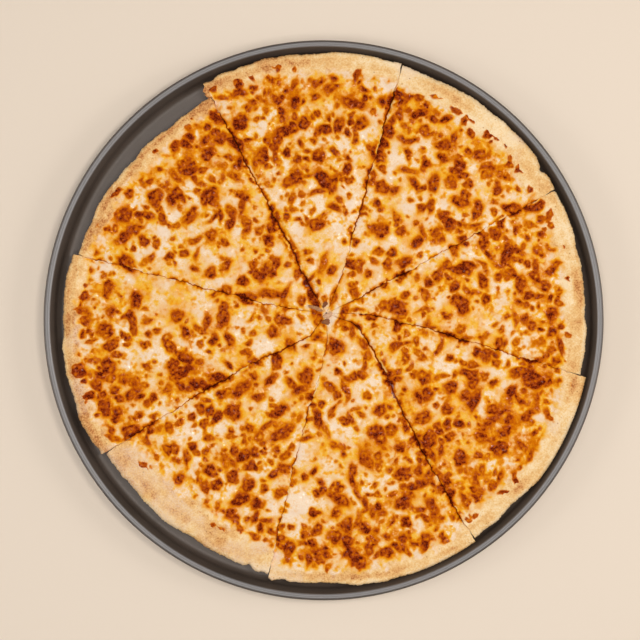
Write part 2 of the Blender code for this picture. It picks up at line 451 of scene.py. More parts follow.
    def rim_width(self, number: int, across: Array) -> Array:
        """Width of a slice's bare rim, at shares of its width from 0 to 1."""
        width = np.interp(across, (0.0, 0.5, 1.0), self.wedges[number - 1].rim)
        return width + self.width_waves.at(across, number)

    def crest_height(self, number: int, across: Array) -> Array:
        """Height of a slice's rim above the pizza's underside."""
        return self.wedges[number - 1].crest + self.crest_waves.at(across, number)

    def rim_surface(self, share: Array, width: Array, crest: Array) -> Array:
        """Height of the dough's top across the rim.

        From the inner wall it climbs along a parabola to the crest, at the share `crest_at` of the width.
        Beyond, it stays nearly level and then falls steeply, along a super-ellipse, to the share `brink` of
        the crest's height. Inside the wall it slopes gently down.

        Args:
            share: Place across the rim, 0 at the inner wall and 1 at the outer edge.
            width: Width of the rim.
            crest: Height of the crest.

        Returns:
            Height above the pizza's underside.
        """
        climb = np.clip(share / self.crest_at, 0.0, 1.0)
        inner = self.rim_wall_top + (crest - self.rim_wall_top) * (1.0 - (1.0 - climb) ** 2)
        fall = np.clip((share - self.crest_at) / (1.0 - self.crest_at), 0.0, 1.0)
        outer = crest * (self.brink + (1.0 - self.brink) * np.sqrt(1.0 - fall**6))
        slope = np.minimum(share, 0.0) * width * self.inner_slope
        return np.where(share < self.crest_at, inner, outer) + slope

    def gap(self, index: int, radius: Array) -> Array:
        """Width of the open cut in the cheese: nearly shut, but for the tears and where it drifts open.

        A tear widens it as exp(-(distance / half length) to the fourth).

        Args:
            index: Number of the cut, where 0 is the last one, a turn earlier.
            radius: Distances from the crossing.

        Returns:
            The widths.
        """
        index = index or len(self.cuts)
        opened = self.cuts[index - 1].open + 0.5 * self.drift_waves.at(radius, index)
        width = np.clip(opened, 0.0, self.widest_drift) * smooth_step(radius / 24.0)
        for tear in self.tears:
            if tear.cut == index:
                width = width + tear.width * np.exp(-(((radius - tear.radius) / tear.half) ** 4))
        return self.least_gap + width * (1.0 + 0.3 * wave(radius, 60 + index, 3.1))

    def painted_cut_shade(self, index: int, side: int, radius: Array) -> Array:
        """How strongly the cheese is painted dark along one side of a cut, as painted shade of the gap, from
        0 to 1.

        The wider a cut gapes, the more often it is painted dark.

        Args:
            index: Number of the cut, where 0 is the last one, a turn earlier.
            side: Which side of the cut, 0 or 1.
            radius: Distances from the crossing.

        Returns:
            The shares.
        """
        seed = 300 + 10 * (index or len(self.cuts)) + 4 * side
        often = 0.7 * (self.cuts[index - 1].open - 0.3) - 0.22
        return smooth_step((wave(radius, seed, 47.0) + 0.6 * wave(radius, seed + 1, 13.0) + often) / 0.4)

    def smear(self, index: int, side: int, radius: Array) -> Array:
        """How much pale cheese from below is pulled up along one side of a cut, from 0 to 1."""
        seed = 302 + 10 * (index or len(self.cuts)) + 4 * side
        return smooth_step((wave(radius, seed, 61.0) + 0.5 * wave(radius, seed + 1, 19.0) - 0.12) / 0.4)

    def stray(self, index: int, radius: Array) -> Array:
        """Sideways wander of the torn cheese edge along a cut, which starts a little off the crossing."""
        index = index or len(self.cuts)
        return self.wander_waves.at(radius, index) * smooth_step((radius - 6.0) / 30.0)


@dataclass(frozen=True)
class Spot:
    """A browned blister or shred: its middle, length and width, its turn in degrees, darkness and bend."""

    x: float
    y: float
    long: float
    wide: float
    turn: float = 0.0
    dark: float = 0.95
    bend: float = 0.0


@dataclass(frozen=True)
class SpotKind:
    """How one kind of browned spot is scattered: how many, how large, how long, how crowded, how dark."""

    most: int
    half: float
    spread: float
    longest: float
    clumped: float
    touch: float
    clear: float
    dark: float
    bend: float = 0.0
    shortest: float = 1.0


class Bake(Enum):
    """How strongly the oven browned a part of the cheese."""

    PALE = -1.0
    TOASTED = 1.0


@dataclass(frozen=True)
class Patch:
    """A round region of the cheese that is paler or browner than the rest."""

    x: float
    y: float
    radius: float
    bake: Bake
    strength: float = 1.0


@dataclass(frozen=True)
class Browning:
    """The oven's marks on the cheese, as grids over the whole pizza.

    Blisters, shreds and dots are scattered by a seeded rule: most keep clear of each other, some touch and
    run together, and fewer fall in the pale patches. Lobes are the waves round a spot's edge: how many, and
    how deep as a share of its radius.
    """

    seed: int = 11
    keep: float = 0.75
    patchy: float = 0.6
    field: float = 186.0
    centre: tuple[float, float] = (2.0, 5.0)
    edge_warmth: float = 0.85
    edge_from: float = 136.0
    edge_over: float = 32.0
    tries: int = 14
    smallest: float = 0.5
    largest: float = 5.5
    ranked_to: float = 172.0
    warp: float = 0.4
    lobes: tuple[tuple[int, float], ...] = ((2, 0.08), (3, 0.08), (5, 0.055), (8, 0.035))
    kinds: tuple[SpotKind, ...] = (
        SpotKind(600, 2.9, 0.3, 2.0, 0.45, 0.68, 0.9, 0.98, 0.2),
        SpotKind(120, 2.75, 0.15, 3.8, 0.5, 0.7, 0.6, 0.94, 0.9, 2.2),
        SpotKind(420, 1.55, 0.3, 1.8, 0.6, 0.78, 0.4, 0.88, 0.2),
        SpotKind(260, 0.88, 0.2, 1.4, 0.6, 0.9, 0.3, 0.74),
    )
    patches: tuple[Patch, ...] = (
        Patch(-4.0, 54.0, 17.0, Bake.PALE),
        Patch(14.0, 30.0, 11.0, Bake.PALE),
        Patch(-128.0, 22.0, 20.0, Bake.PALE),
        Patch(-104.0, 18.0, 20.0, Bake.PALE),
        Patch(-60.0, 2.0, 18.0, Bake.PALE, 0.8),
        Patch(-14.0, -97.0, 12.0, Bake.PALE),
        Patch(-17.0, -140.0, 14.0, Bake.PALE),
        Patch(36.0, 52.0, 14.0, Bake.PALE, 0.8),
        Patch(28.0, -20.0, 9.0, Bake.PALE),
        Patch(-38.0, 84.0, 9.0, Bake.PALE, 0.8),
        Patch(-58.0, 52.0, 15.0, Bake.PALE, 0.7),
        Patch(-40.0, -44.0, 14.0, Bake.PALE, 0.6),
        Patch(-94.0, 112.0, 36.0, Bake.TOASTED),
        Patch(-24.0, 141.0, 36.0, Bake.TOASTED),
        Patch(129.0, 36.0, 34.0, Bake.TOASTED),
        Patch(118.0, -86.0, 40.0, Bake.TOASTED),
        Patch(48.0, -138.0, 36.0, Bake.TOASTED, 0.6),
        Patch(-72.0, -110.0, 30.0, Bake.TOASTED, 0.5),
        Patch(-100.0, -30.0, 30.0, Bake.TOASTED, 0.4),
    )
    noted: tuple[Spot, ...] = (
        Spot(153.0, -44.0, 15.0, 12.0, -12.0, 1.15),
        Spot(142.0, -38.0, 12.0, 7.0, 20.0, 0.98),
        Spot(-55.0, 16.0, 13.0, 8.0, -8.0, 1.12),
        Spot(-38.0, 19.0, 17.0, 6.0, -4.0, 1.0),
        Spot(-112.0, -19.0, 12.0, 8.0, -35.0, 1.0),
        Spot(-101.0, -27.0, 15.0, 7.0, -25.0, 1.0),
        Spot(128.0, -93.0, 12.0, 11.0, -9.0, 1.05),
        Spot(73.0, -42.0, 9.0, 11.0, 0.0, 1.0),
        Spot(75.0, -54.0, 9.0, 8.0, 0.0, 1.02),
        Spot(-122.0, 89.0, 10.0, 12.0, 0.0, 1.03),
        Spot(53.0, 161.0, 11.0, 12.0, 63.0, 1.02),
        Spot(72.0, -71.0, 12.0, 8.0, 22.0, 1.05),
        Spot(-141.0, -81.0, 12.0, 10.0, 61.0, 1.02),
        Spot(77.0, -87.0, 14.0, 10.0, 72.0, 1.1),
        Spot(-145.0, 76.0, 13.0, 10.0, -15.0, 1.05),
        Spot(-64.0, 129.0, 14.0, 7.0, -35.0, 1.1),
        Spot(-143.0, 42.0, 16.0, 9.0, -42.0, 1.04),
        Spot(143.0, 27.0, 8.0, 13.0, 0.0, 1.0),
        Spot(-101.0, 112.0, 10.0, 12.0, 0.0, 1.02),
        Spot(-66.0, -67.0, 12.0, 11.0, 42.0, 1.0),
        Spot(11.0, -130.0, 16.0, 7.0, -32.0, 1.0),
        Spot(6.0, 99.0, 8.0, 14.0, 0.0, 0.98),
        Spot(-60.0, -50.0, 15.0, 7.0, 47.0, 1.03),
        Spot(-9.5, 22.0, 5.0, 13.0, 8.0, 1.2),
        Spot(-24.0, 102.0, 13.0, 7.0, 44.0, 1.02),
        Spot(22.0, 158.0, 18.0, 6.0, -22.0, 0.98, 0.3),
        Spot(80.0, 99.0, 12.0, 8.5, 64.0, 1.03),
        Spot(9.0, -19.0, 13.0, 9.0, -44.0, 1.0),
        Spot(-44.0, 120.0, 8.0, 12.0, 0.0, 1.0),
        Spot(-81.0, 92.0, 12.0, 8.0, -67.0, 1.0),
        Spot(-97.0, 76.0, 13.0, 7.0, 45.0, 0.98),
        Spot(-105.0, 91.0, 12.0, 7.0, -56.0, 1.0),
        Spot(-139.0, -2.0, 5.5, 18.0, 12.0, 1.02),
        Spot(100.0, 86.0, 12.0, 7.5, -4.0, 1.03),
        Spot(-32.0, -83.0, 13.0, 7.5, 28.0, 1.0),
        Spot(-76.0, -42.0, 15.0, 7.0, 1.0, 1.1),
        Spot(137.0, 81.0, 13.0, 7.0, -3.0, 1.05),
        Spot(-73.0, 2.0, 8.0, 14.0, 0.0, 1.1),
        Spot(125.0, 63.0, 9.0, 10.0, 0.0, 1.02),
        Spot(87.0, -9.0, 17.0, 5.0, -17.0, 1.08),
        Spot(-33.0, 133.0, 8.0, 12.0, -8.0, 1.0),
        Spot(8.0, -158.0, 9.0, 10.0, 0.0, 1.02),
        Spot(27.0, 143.0, 11.0, 8.0, 29.0, 1.0),
        Spot(31.0, -102.0, 12.0, 7.5, -50.0, 1.0),
        Spot(-5.0, 70.0, 11.0, 9.0, 8.0, 1.06),
        Spot(-7.0, 16.0, 9.0, 6.0, 60.0, 1.0),
        Spot(-34.0, -30.0, 8.0, 12.0, 0.0, 1.0),
        Spot(84.0, 34.0, 11.0, 7.0, 54.0, 1.0),
        Spot(26.0, 40.0, 6.5, 9.0, 0.0, 0.98),
        Spot(-27.0, 59.0, 16.0, 4.5, -54.0, 1.1),
        Spot(59.0, 35.0, 7.0, 5.0, 50.0, 1.15),
        Spot(26.0, 6.0, 12.0, 4.5, -8.0, 1.0),
        Spot(86.0, 163.0, 13.0, 3.2, 12.0, 1.0, 0.4),
        Spot(96.0, 152.0, 8.5, 4.6, -32.0, 1.0),
        Spot(107.0, 136.0, 7.0, 4.5, -45.0, 1.0),
        Spot(116.0, 141.0, 3.6, 3.0, 0.0, 0.92),
    )

    def warmth(self, x: Array, y: Array) -> Array:
        """Sum of the patches: each fades outwards as exp(-(distance / radius) squared).

        The cheese is warmer all round towards the rim.

        Args:
            x: X of the points.
            y: Y of the points.

        Returns:
            The sum.
        """
        total = np.zeros_like(np.asarray(x, float))
        for patch in self.patches:
            near = np.exp(-((x - patch.x) ** 2 + (y - patch.y) ** 2) / patch.radius**2)
            total = total + patch.bake.value * patch.strength * near
        from_centre = np.hypot(x - self.centre[0], y - self.centre[1])
        return total + self.edge_warmth * smooth_step((from_centre - self.edge_from) / self.edge_over)

    def scatter(self) -> list[Spot]:
        """Spots of the whole pizza: the noted ones, then seeded ones that keep their distance.

        Returns:
            The spots, the noted ones first.
        """
        rng = np.random.default_rng(self.seed)
        spots = list(self.noted)
        taken = np.array([(s.x, s.y, (s.long + s.wide) / 4.0) for s in spots])
        for kind in self.kinds:
            made = 0
            for _ in range(kind.most * self.tries):
                if made >= kind.most:
                    break
                angle, radius = rng.uniform(0.0, 2.0 * math.pi), self.field * math.sqrt(rng.uniform())
                x = self.centre[0] + radius * math.cos(angle)
                y = self.centre[1] + radius * math.sin(angle)
                half = math.exp(rng.normal(math.log(kind.half), kind.spread))
                half = min(max(half, self.smallest), self.largest)
                shape, kept, clump, darkness, turn, bend = rng.uniform(size=6)
                warmth = float(self.warmth(x, y))
                if kept > self.keep + self.patchy * warmth:
                    continue
                distance = np.hypot(taken[:, 0] - x, taken[:, 1] - y)
                room = half + taken[:, 2]
                together = clump < kind.clumped
                if np.any(distance < (kind.touch * room if together else room + kind.clear)):
                    continue
                stretch = math.sqrt(kind.shortest + (kind.longest - kind.shortest) * shape**1.5)
                dark = kind.dark + 0.2 * (darkness - 0.5) + 0.04 * (half - kind.half) + 0.05 * warmth
                sides = (2.0 * half * stretch, 2.0 * half / stretch)
                spots.append(Spot(x, y, *sides, 360.0 * turn, dark, kind.bend * (bend - 0.5)))
                taken = np.vstack([taken, (x, y, half)])
                made += 1
        return spots

    def stamp(self, spots: list[Spot]) -> Marks:
        """Cores, halos and domes of the spots, on the grid.

        In a spot's own axes, bent along a parabola, its edge is an ellipse whose radius swells and shrinks
        by four seeded waves round it. Browning is full inside, drops steeply across the edge, and fades
        outwards exponentially. Halos of neighbours add up. Height is a dome with a flat top. The noted spots
        and every third of the rest may stray on to the rim.

        Args:
            spots: The spots to stamp.

        Returns:
            The grids.
        """
        rng = np.random.default_rng(self.seed + 1)
        cells, half = Sheet.cells(), Sheet.half
        core, clear, inside, height, kept = (np.zeros((cells, cells)) for _ in range(5))
        line = np.linspace(-half, half, cells)
        warp_x, warp_y = self.warp * Sheet.grain(1.6, 61), self.warp * Sheet.grain(1.6, 62)
        for order, spot in enumerate(spots):
            phases = rng.uniform(0.0, 2.0 * math.pi, 4)
            mean = math.sqrt(spot.long * spot.wide) / 2.0
            spread = 0.34 + 0.17 * mean
            reach = spot.long / 2.0 + 5.0 * spread + 1.0
            columns = slice(*np.searchsorted(line, (spot.x - reach, spot.x + reach)))
            rows = slice(*np.searchsorted(line, (spot.y - reach, spot.y + reach)))
            x = line[None, columns] - spot.x + warp_x[rows, columns]
            y = line[rows, None] - spot.y + warp_y[rows, columns]
            turn = math.radians(spot.turn)
            u = x * math.cos(turn) + y * math.sin(turn)
            v = y * math.cos(turn) - x * math.sin(turn)
            v = v - spot.bend * (u**2 - (spot.long / 3.0) ** 2) / max(spot.long, 1.0)
            u, v = u * 2.0 / spot.long, v * 2.0 / spot.wide
            around = np.arctan2(v, u)
            lobes = sum(a * np.sin(k * around + phases[n]) for n, (k, a) in enumerate(self.lobes))
            inwards = min(spot.wide / 2.0, mean)
            outside = (np.hypot(u, v) / (1.0 + lobes) - 1.0) * inwards
            edge = 1.0 - 0.44 * smooth_step((outside + 0.26) / 0.52)
            halo = 0.56 * np.exp(-np.maximum(outside - 0.26, 0.0) / spread)
            value = spot.dark * np.where(outside < 0.26, edge, halo)
            within = smooth_step((0.2 - outside) / 0.6) * min(1.0, spot.dark)
            dome = smooth_step(0.35 - outside / max(inwards, 0.8)) * min(0.85, 0.24 * inwards)
            if order < len(self.noted) or order % 3 == 0:
                kept[rows, columns] = np.maximum(kept[rows, columns], smooth_step((1.2 - outside) / 0.8))
            core[rows, columns] = np.maximum(core[rows, columns], value)
            inside[rows, columns] = np.maximum(inside[rows, columns], within)
            height[rows, columns] = np.maximum(height[rows, columns], dome)
            clear[rows, columns] -= np.log1p(-0.66 * np.minimum(halo * spot.dark, 0.95))
        return Marks(core, 0.85 * (1.0 - np.exp(-clear)), inside, height, kept)


@dataclass(frozen=True)
class Marks:
    """Grids of the stamped spots: cores, summed halos, insides, height of blisters, and those that stray."""

    core: Array
    halos: Array
    inside: Array
    height: Array
    kept: Array


@dataclass(frozen=True)
class OvenTop:
    """Every grid that the slices read.

    They are the browning, the spots that stray on to the rim, the relief of cheese and rim, how toasted and
    how floury the rim is, with painted shade that darkens it towards the left, and the flecks that break up
    the cheese's edge.
    """

    browning: Sheet
    strays: Sheet
    cheese_relief: Sheet
    rim_relief: Sheet
    toast: Sheet
    flour: Sheet
    flecks: Sheet

    @staticmethod
    def streaks(plan: Plan, length: float, stretch: float, seed: int) -> Array:
        """Random grid whose features run round the pizza.

        A grid of even grain is read at (angle times 170 over the stretch, radius), so its features are
        drawn out along the rim. The seam lies on a cut.

        Args:
            plan: Plan of the slices.
            length: Width of the features across the rim.
            stretch: How many times longer they are along the rim.
            seed: Seed of the grain.

        Returns:
            The grid.
        """
        x, y = Sheet.places()
        x, y = x - plan.centre[0], y - plan.centre[1]
        seam = float(plan.cut_angle(7, 180.0))
        turn = np.mod(np.arctan2(y, x) - seam, 2.0 * math.pi)
        return Sheet(Sheet.grain(length, seed)).at((turn - math.pi) * 170.0 / stretch, np.hypot(x, y) - 100.0)

    @staticmethod
    def bake(plan: Plan, browning: Browning) -> OvenTop:
        """Works out the grids.

        Round the spots the cheese is stained yellow and amber, where the summed halos with fine noise pass
        two levels. Spots are mottled inside, and the creases of their wrinkles are painted darker, as painted
        shade. The result is ranked over the cheese, so that 0 is the palest point and 1 the darkest, with
        every share between them. Relief is the sum of smooth random grids of several widths, the blisters'
        domes, and wrinkles where the cheese is darkest.

        Args:
            plan: Plan of the slices.
            browning: Rule for the spots.

        Returns:
            The grids.
        """
        spots = browning.scatter()
        LOG.info("browned spots: %d", len(spots))
        marks = browning.stamp(spots)
        x, y = Sheet.places()
        warmth = browning.warmth(x, y)
        noise = Sheet.layers((0.07, 2.2, 31), (0.07, 1.1, 32), (0.06, 0.6, 35), (0.05, 6.0, 33))
        near = marks.halos + noise + 0.12 * warmth
        stain = 0.26 * smooth_step((near - 0.1) / 0.16) + 0.2 * smooth_step((near - 0.33) / 0.06)
        stain = stain + 0.14 * smooth_step((near - 0.52) / 0.08) + 0.07 * Sheet.grain(0.7, 34)
        # Folds: thin creases, sunk in the relief and painted darker inside spots as painted shade.
        folds = np.exp(-((Sheet.grain(1.0, 37) / 0.4) ** 2))
        mottle = Sheet.layers((0.17, 0.6, 1), (0.09, 1.5, 6)) + 0.22 * folds - 0.16
        cloud = Sheet.layers((0.05, 6.5, 2), (0.03, 1.6, 3))
        raw = np.maximum(marks.core, stain) + marks.inside * mottle + (1.0 - marks.inside) * cloud
        order = np.sort(raw[np.hypot(x - plan.centre[0], y - plan.centre[1]) < browning.ranked_to])
        share = np.searchsorted(order, raw) / order.size
        relief = Sheet.layers((0.42, 13.0, 4), (0.24, 5.0, 5), (0.11, 1.5, 7))
        relief = relief + 1.25 * marks.height + marks.inside * (0.16 * Sheet.grain(0.6, 1) - 0.3 * folds)
        strays = smooth_step((marks.core - 0.3) / 0.25) * marks.kept
        fold = OvenTop.streaks(plan, 3.4, 4.0, 41)
        rim = 0.22 * fold + Sheet.layers((0.14, 6.0, 8), (0.07, 1.5, 9), (0.05, 0.6, 10))
        # Painted shade: the rim's toast is raised towards the left, the side away from the light.
        shade = smooth_step((110.0 - x) / 230.0)
        toast = 0.21 + 0.08 * OvenTop.streaks(plan, 1.2, 6.0, 42) + 0.06 * fold
        toast = toast + Sheet.layers((0.07, 7.0, 43), (0.05, 1.2, 44)) + 0.27 * shade
        near_left = smooth_step((-x - y - 60.0) / 200.0)
        dusted = Sheet.layers((1.0, 9.0, 45), (0.5, 2.5, 46))
        flour = smooth_step((dusted - 1.6 + 1.4 * near_left) / 1.2)
        flecks = Sheet.layers((0.6, 1.3, 47), (0.5, 3.0, 48))
        grids = (share, strays, relief, rim, toast, flour, flecks)
        return OvenTop(*(Sheet(grid) for grid in grids))


def zip_rows(first: Array, first_at: Array, second: Array, second_at: Array) -> Array:
    """Triangles between two rows of points with different counts.

    The rows' parameters are merged in order, and each step along one row makes a triangle with the point
    reached on the other.

    Args:
        first: Indices of the first row's points.
        first_at: Their parameters, rising from 0 to 1.
        second: Indices of the second row's points.
        second_at: Their parameters, rising from 0 to 1.

    Returns:
        Array of triangles, turned so that a row above, running the same way, faces up.
    """
    steps = len(first) - 1
    order = np.argsort(np.concatenate([first_at[1:], second_at[1:]]), kind="stable")
    on_first = order < steps
    a = np.cumsum(on_first) - on_first
    b = np.cumsum(~on_first) - ~on_first
    third = np.where(on_first, first[np.minimum(a + 1, steps)], second[np.minimum(b + 1, len(second) - 1)])
    return np.stack([first[a], third, second[b]], axis=1)


def ring_faces(rows: int, columns: int, closed: bool) -> Array:
    """Triangles of a grid of points, row after row, joined round to the first row when closed.

    Args:
        rows: Number of rows.
        columns: Number of points in a row.
        closed: Whether the last row joins the first.

    Returns:
        Array of triangles.
    """
    row = np.arange(rows if closed else rows - 1)[:, None]
    column = np.arange(columns - 1)[None, :]
    a = row * columns + column
    b = (row + 1) % rows * columns + column
    one = np.stack([a, a + 1, b + 1], axis=-1).reshape(-1, 3)
    two = np.stack([a, b + 1, b], axis=-1).reshape(-1, 3)
    return np.concatenate([one, two])


def shell_faces(rings: int, columns: int) -> Array:
    """Triangles of a closed shell of rings, whose last two points are its first and its last pole.

    Args:
        rings: Number of rings.
        columns: Number of points in a ring.

    Returns:
        Array of triangles, facing out where the rings run down from the top.
    """
    ring = np.arange(rings - 1)[:, None] * columns
    here = np.arange(columns)
    ahead = (here + 1) % columns
    a, b, c, d = ring + here, ring + ahead, ring + columns + ahead, ring + columns + here
    one = np.stack([a, d, c], axis=-1).reshape(-1, 3)
    two = np.stack([a, c, b], axis=-1).reshape(-1, 3)
    pole, last = rings * columns, (rings - 1) * columns
    first_fan = np.stack([np.full(columns, pole), here, ahead], axis=1)
    last_fan = np.stack([np.full(columns, pole + 1), last + ahead, last + here], axis=1)
    return np.concatenate([one, two, first_fan, last_fan])


def new_piece(name: str, points: Array, faces: Array, crease: float = 60.0) -> bpy.types.Object:
    """Mesh object from points in millimetres and triangles, smooth but for creases over an angle.

    Args:
        name: Name of the object.
        points: Array of points.
        faces: Array of triangles.
        crease: Angle in degrees over which an edge stays sharp.

    Returns:
        The object, at the origin.
    """
    mesh = bpy.data.meshes.new(name)
    mesh.vertices.add(len(points))
    mesh.vertices.foreach_set("co", (points * METRE).astype(np.float32).ravel())
    mesh.loops.add(faces.size)
    mesh.loops.foreach_set("vertex_index", faces.astype(np.int32).ravel())
    mesh.polygons.add(len(faces))
    mesh.polygons.foreach_set("loop_start", np.arange(0, faces.size, 3, dtype=np.int32))
    mesh.update(calc_edges=True)
    mesh.shade_smooth()
    mesh.set_sharp_from_angle(angle=math.radians(crease))
    piece = bpy.data.objects.new(name, mesh)
    bpy.context.scene.collection.objects.link(piece)
    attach(piece, BODY)
    return piece


def paint(piece: bpy.types.Object, name: str, values: Array) -> None:
    """Stores one number for each point of a piece, which its material reads by name."""
    layer = piece.data.attributes.new(name, "FLOAT", "POINT")
    layer.data.foreach_set("value", values.astype(np.float32).ravel())


class Part:
    """A sub-assembly of the food or its pan, whose builder makes one piece."""

    @staticmethod
    def dress(piece: bpy.types.Object, material: bpy.types.Material) -> None:
        """Gives a new piece its one material."""
        piece.data.materials.append(material)


@dataclass(frozen=True)
class CheeseSheet(Part):
    """The baked cheese of one slice: an even net of triangles over the slice, with walls and a flat back.

    Beyond the melted edge the sheet runs on as a thin film over the rim, which carries stray spots.
    """

    number: int
    plan: Plan
    top: OvenTop
    spacing: float = 0.58
    tip: float = 0.7
    droop: float = 1.3
    droop_length: float = 1.0
    film: float = 5.5
    rim_margin: float = 4.5
    shut: float = 0.03
    shelf_open: float = 0.12
    soft: float = 0.3
    lift_from: float = 16.0

    def outer_edge(self, across: Array) -> Array:
        """Distance of the film's edge from the crossing, kept off the steep outside of the rim.

        Args:
            across: Shares of the way across the slice.

        Returns:
            The distances.
        """
        plan, number = self.plan, self.number
        limit = plan.edge_reach(number, across) - self.rim_margin
        edge = np.minimum(plan.melted_edge(number, across) + self.film, limit)
        return edge + 0.4 * wave(across, 130 + number, 0.05)

    def place(self, radius: Array, across: Array, open_share: float = 1.0) -> tuple[Array, Array]:
        """X and Y at distances from the crossing and shares of the way between the two torn edges.

        Args:
            radius: Distances from the crossing.
            across: Shares of the way across the slice.
            open_share: Share of the gaps' width that is left open: 1 at the top, less down in the cut.

        Returns:
            X and Y.
        """
        plan, number = self.plan, self.number
        half_before = np.maximum(open_share * plan.gap(number - 1, radius) / 2.0, self.shut)
        half_after = np.maximum(open_share * plan.gap(number, radius) / 2.0, self.shut)
        before = plan.cut_angle(number - 1, radius) - (half_before + plan.stray(number - 1, radius)) / radius
        after = plan.cut_angle(number, radius) + (half_after - plan.stray(number, radius)) / radius
        angle = before + (after - before) * across
        return plan.centre[0] + radius * np.cos(angle), plan.centre[1] + radius * np.sin(angle)

    def to_cuts(self, radius: Array, across: Array) -> tuple[Array, Array]:
        """Distances from the cut before the slice and from the cut after it.

        Args:
            radius: Distances from the crossing.
            across: Shares of the way across the slice.

        Returns:
            The two distances.
        """
        plan, number = self.plan, self.number
        width = radius * np.abs(plan.cut_angle(number - 1, radius) - plan.cut_angle(number, radius))
        return across * width, (1.0 - across) * width

    def height(self, radius: Array, across: Array, x: Array, y: Array) -> Array:
        """Height of the cheese's face above the pizza's underside.

        The relief is added to an even level and droops towards the cuts by an exponential of the distance.
        Near the rim a soft maximum lifts it over the dough as a film, which thins to nothing at its edge.

        Args:
            radius: Distances from the crossing.
            across: Shares of the way across the slice.
            x: X of the points.
            y: Y of the points.

        Returns:
            The heights.
        """
        plan, number = self.plan, self.number
        left, right = self.to_cuts(radius, across)
        open_left = 0.3 + plan.gap(number - 1, radius) / 1.8
        open_right = 0.3 + plan.gap(number, radius) / 1.8
        sag = open_left * np.exp(-left / self.droop_length) + open_right * np.exp(-right / self.droop_length)
        relief = self.top.cheese_relief.at(x, y)
        level = plan.cheese_top + relief - self.droop * np.minimum(sag, 1.3)
        level = level - 0.8 * (1.0 - smooth_step(radius / 12.0))
        dough = DoughSlice(number, plan, self.top).surface(radius, across, x, y)
        to_edge = self.outer_edge(across) - radius
        strays = self.top.strays.at(x, y)
        film = (0.42 + 0.45 * strays) * smooth_step(to_edge / 2.6) - 0.1 * (1.0 - smooth_step(to_edge / 0.7))
        film = film + 0.5 * smooth_step((to_edge - self.film + 1.5) / 5.0)
        lifted = self.soft * np.logaddexp(level / self.soft, (dough + film) / self.soft)
        inside = np.where(to_edge < self.lift_from, lifted, level)
        return np.where(to_edge < 0.8 + self.film / 2.0, dough + film, inside)

    def browned(self, radius: Array, across: Array, x: Array, y: Array) -> Array:
        """Browning, with stretches of painted shade and pale pulled-up cheese along the cuts.

        Both fade away from a cut, the painted shade as exp(-(distance / 1.7 mm) squared).

        Args:
            radius: Distances from the crossing.
            across: Shares of the way across the slice.
            x: X of the points.
            y: Y of the points.

        Returns:
            Shares from 0 to 1.
        """
        plan, number = self.plan, self.number
        brown = self.top.browning.at(x, y)
        inwards = smooth_step((radius - 10.0) / 12.0)
        for distance, index, side in zip(self.to_cuts(radius, across), (number - 1, number), (0, 1)):
            reach = 1.8 + 2.6 * plan.smear(index, 2, radius)
            pale = plan.smear(index, side, radius) * (1.0 - smooth_step(distance / reach))
            brown = brown * (1.0 - 0.85 * pale * inwards)
            # Painted shade of the cut's gap: darker red brown right beside the cut.
            cut_shade = plan.painted_cut_shade(index, side, radius) * np.exp(-((distance / 1.7) ** 2))
            brown = brown + 0.7 * cut_shade * inwards * (1.0 - 0.7 * brown)
        return np.clip(brown, 0.0, 0.985)

    def build(self) -> bpy.types.Object:
        """Makes the mesh, stores what its material reads and puts it in the place of the plain cheese.

        Rows of points run across the slice, each with as many as its width asks for, and are joined into
        triangles. Round the edge a wall drops to a shelf, which closes the cut further down, then to a flat
        back, which is closed from side to side.

        Returns:
            The piece.
        """
        plan, number = self.plan, self.number
        longest = float(self.outer_edge(np.linspace(0.0, 1.0, 50)).max())
        rows = int((longest - self.tip) / self.spacing) + 1
        xs, ys, radii, shares, starts, counts = [], [], [], [], [], []
        total = 0
        for share in np.linspace(0.0, 1.0, rows):
            middle = self.tip + (longest - self.tip) * share
            angle = plan.cut_angle(number - 1, middle) - plan.cut_angle(number, middle)
            count = max(3, int(middle * angle / self.spacing))
            across = np.linspace(0.0, 1.0, count)
            radius = self.tip + (self.outer_edge(across) - self.tip) * share
            x, y = self.place(radius, across)
            xs.append(x)
            ys.append(y)
            radii.append(radius)
            shares.append(across)
            starts.append(total)
            counts.append(count)
            total += count
        x, y, radius, across = (np.concatenate(part) for part in (xs, ys, radii, shares))
        z = self.height(radius, across, x, y) + plan.base
        upper = np.stack([x, y, z], axis=1)
        indices = [np.arange(start, start + count) for start, count in zip(starts, counts)]
        faces = [zip_rows(indices[k], shares[k], indices[k + 1], shares[k + 1]) for k in range(rows - 1)]
        left = np.array([i[0] for i in indices])
        right = np.array([i[-1] for i in indices])
        loop = np.concatenate([left, indices[-1][1:-1], right[::-1], indices[0][1:-1][::-1]])
        shelf = upper[loop].copy()
        shelf[:, 0], shelf[:, 1] = self.place(radius[loop], across[loop], self.shelf_open)
        before, after = plan.gap(number - 1, radius[loop]), plan.gap(number, radius[loop])
        widest = np.where(across[loop] < 0.5, before, after)
        sink = np.minimum(0.35 + 0.75 * widest, shelf[:, 2] - plan.base - plan.cheese_under - 0.25)
        shelf[:, 2] = shelf[:, 2] - np.maximum(sink, 0.1)
        lower = shelf.copy()
        lower[:, 2] = np.minimum(plan.base + plan.cheese_under, shelf[:, 2] - 0.1)
        middle = total + np.arange(len(loop))
        below = middle + len(loop)
        for high, low in ((loop, middle), (middle, below)):
            high_ahead, low_ahead = np.roll(high, -1), np.roll(low, -1)
            faces.append(np.stack([high, high_ahead, low_ahead], axis=1))
            faces.append(np.stack([high, low_ahead, low], axis=1))
        half = rows + counts[-1] // 2
        one, other = below[:half], below[half:][::-1]
        one_at, other_at = np.linspace(0.0, 1.0, len(one)), np.linspace(0.0, 1.0, len(other))
        faces.append(zip_rows(one, one_at, other, other_at))
        points = np.concatenate([upper, shelf, lower])
        piece = new_piece(f"baked_cheese_{number}", points, np.concatenate(faces))
        self.store(piece, radius, across, x, y, loop, widest)
        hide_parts(f"cheese_{number}")
        return piece

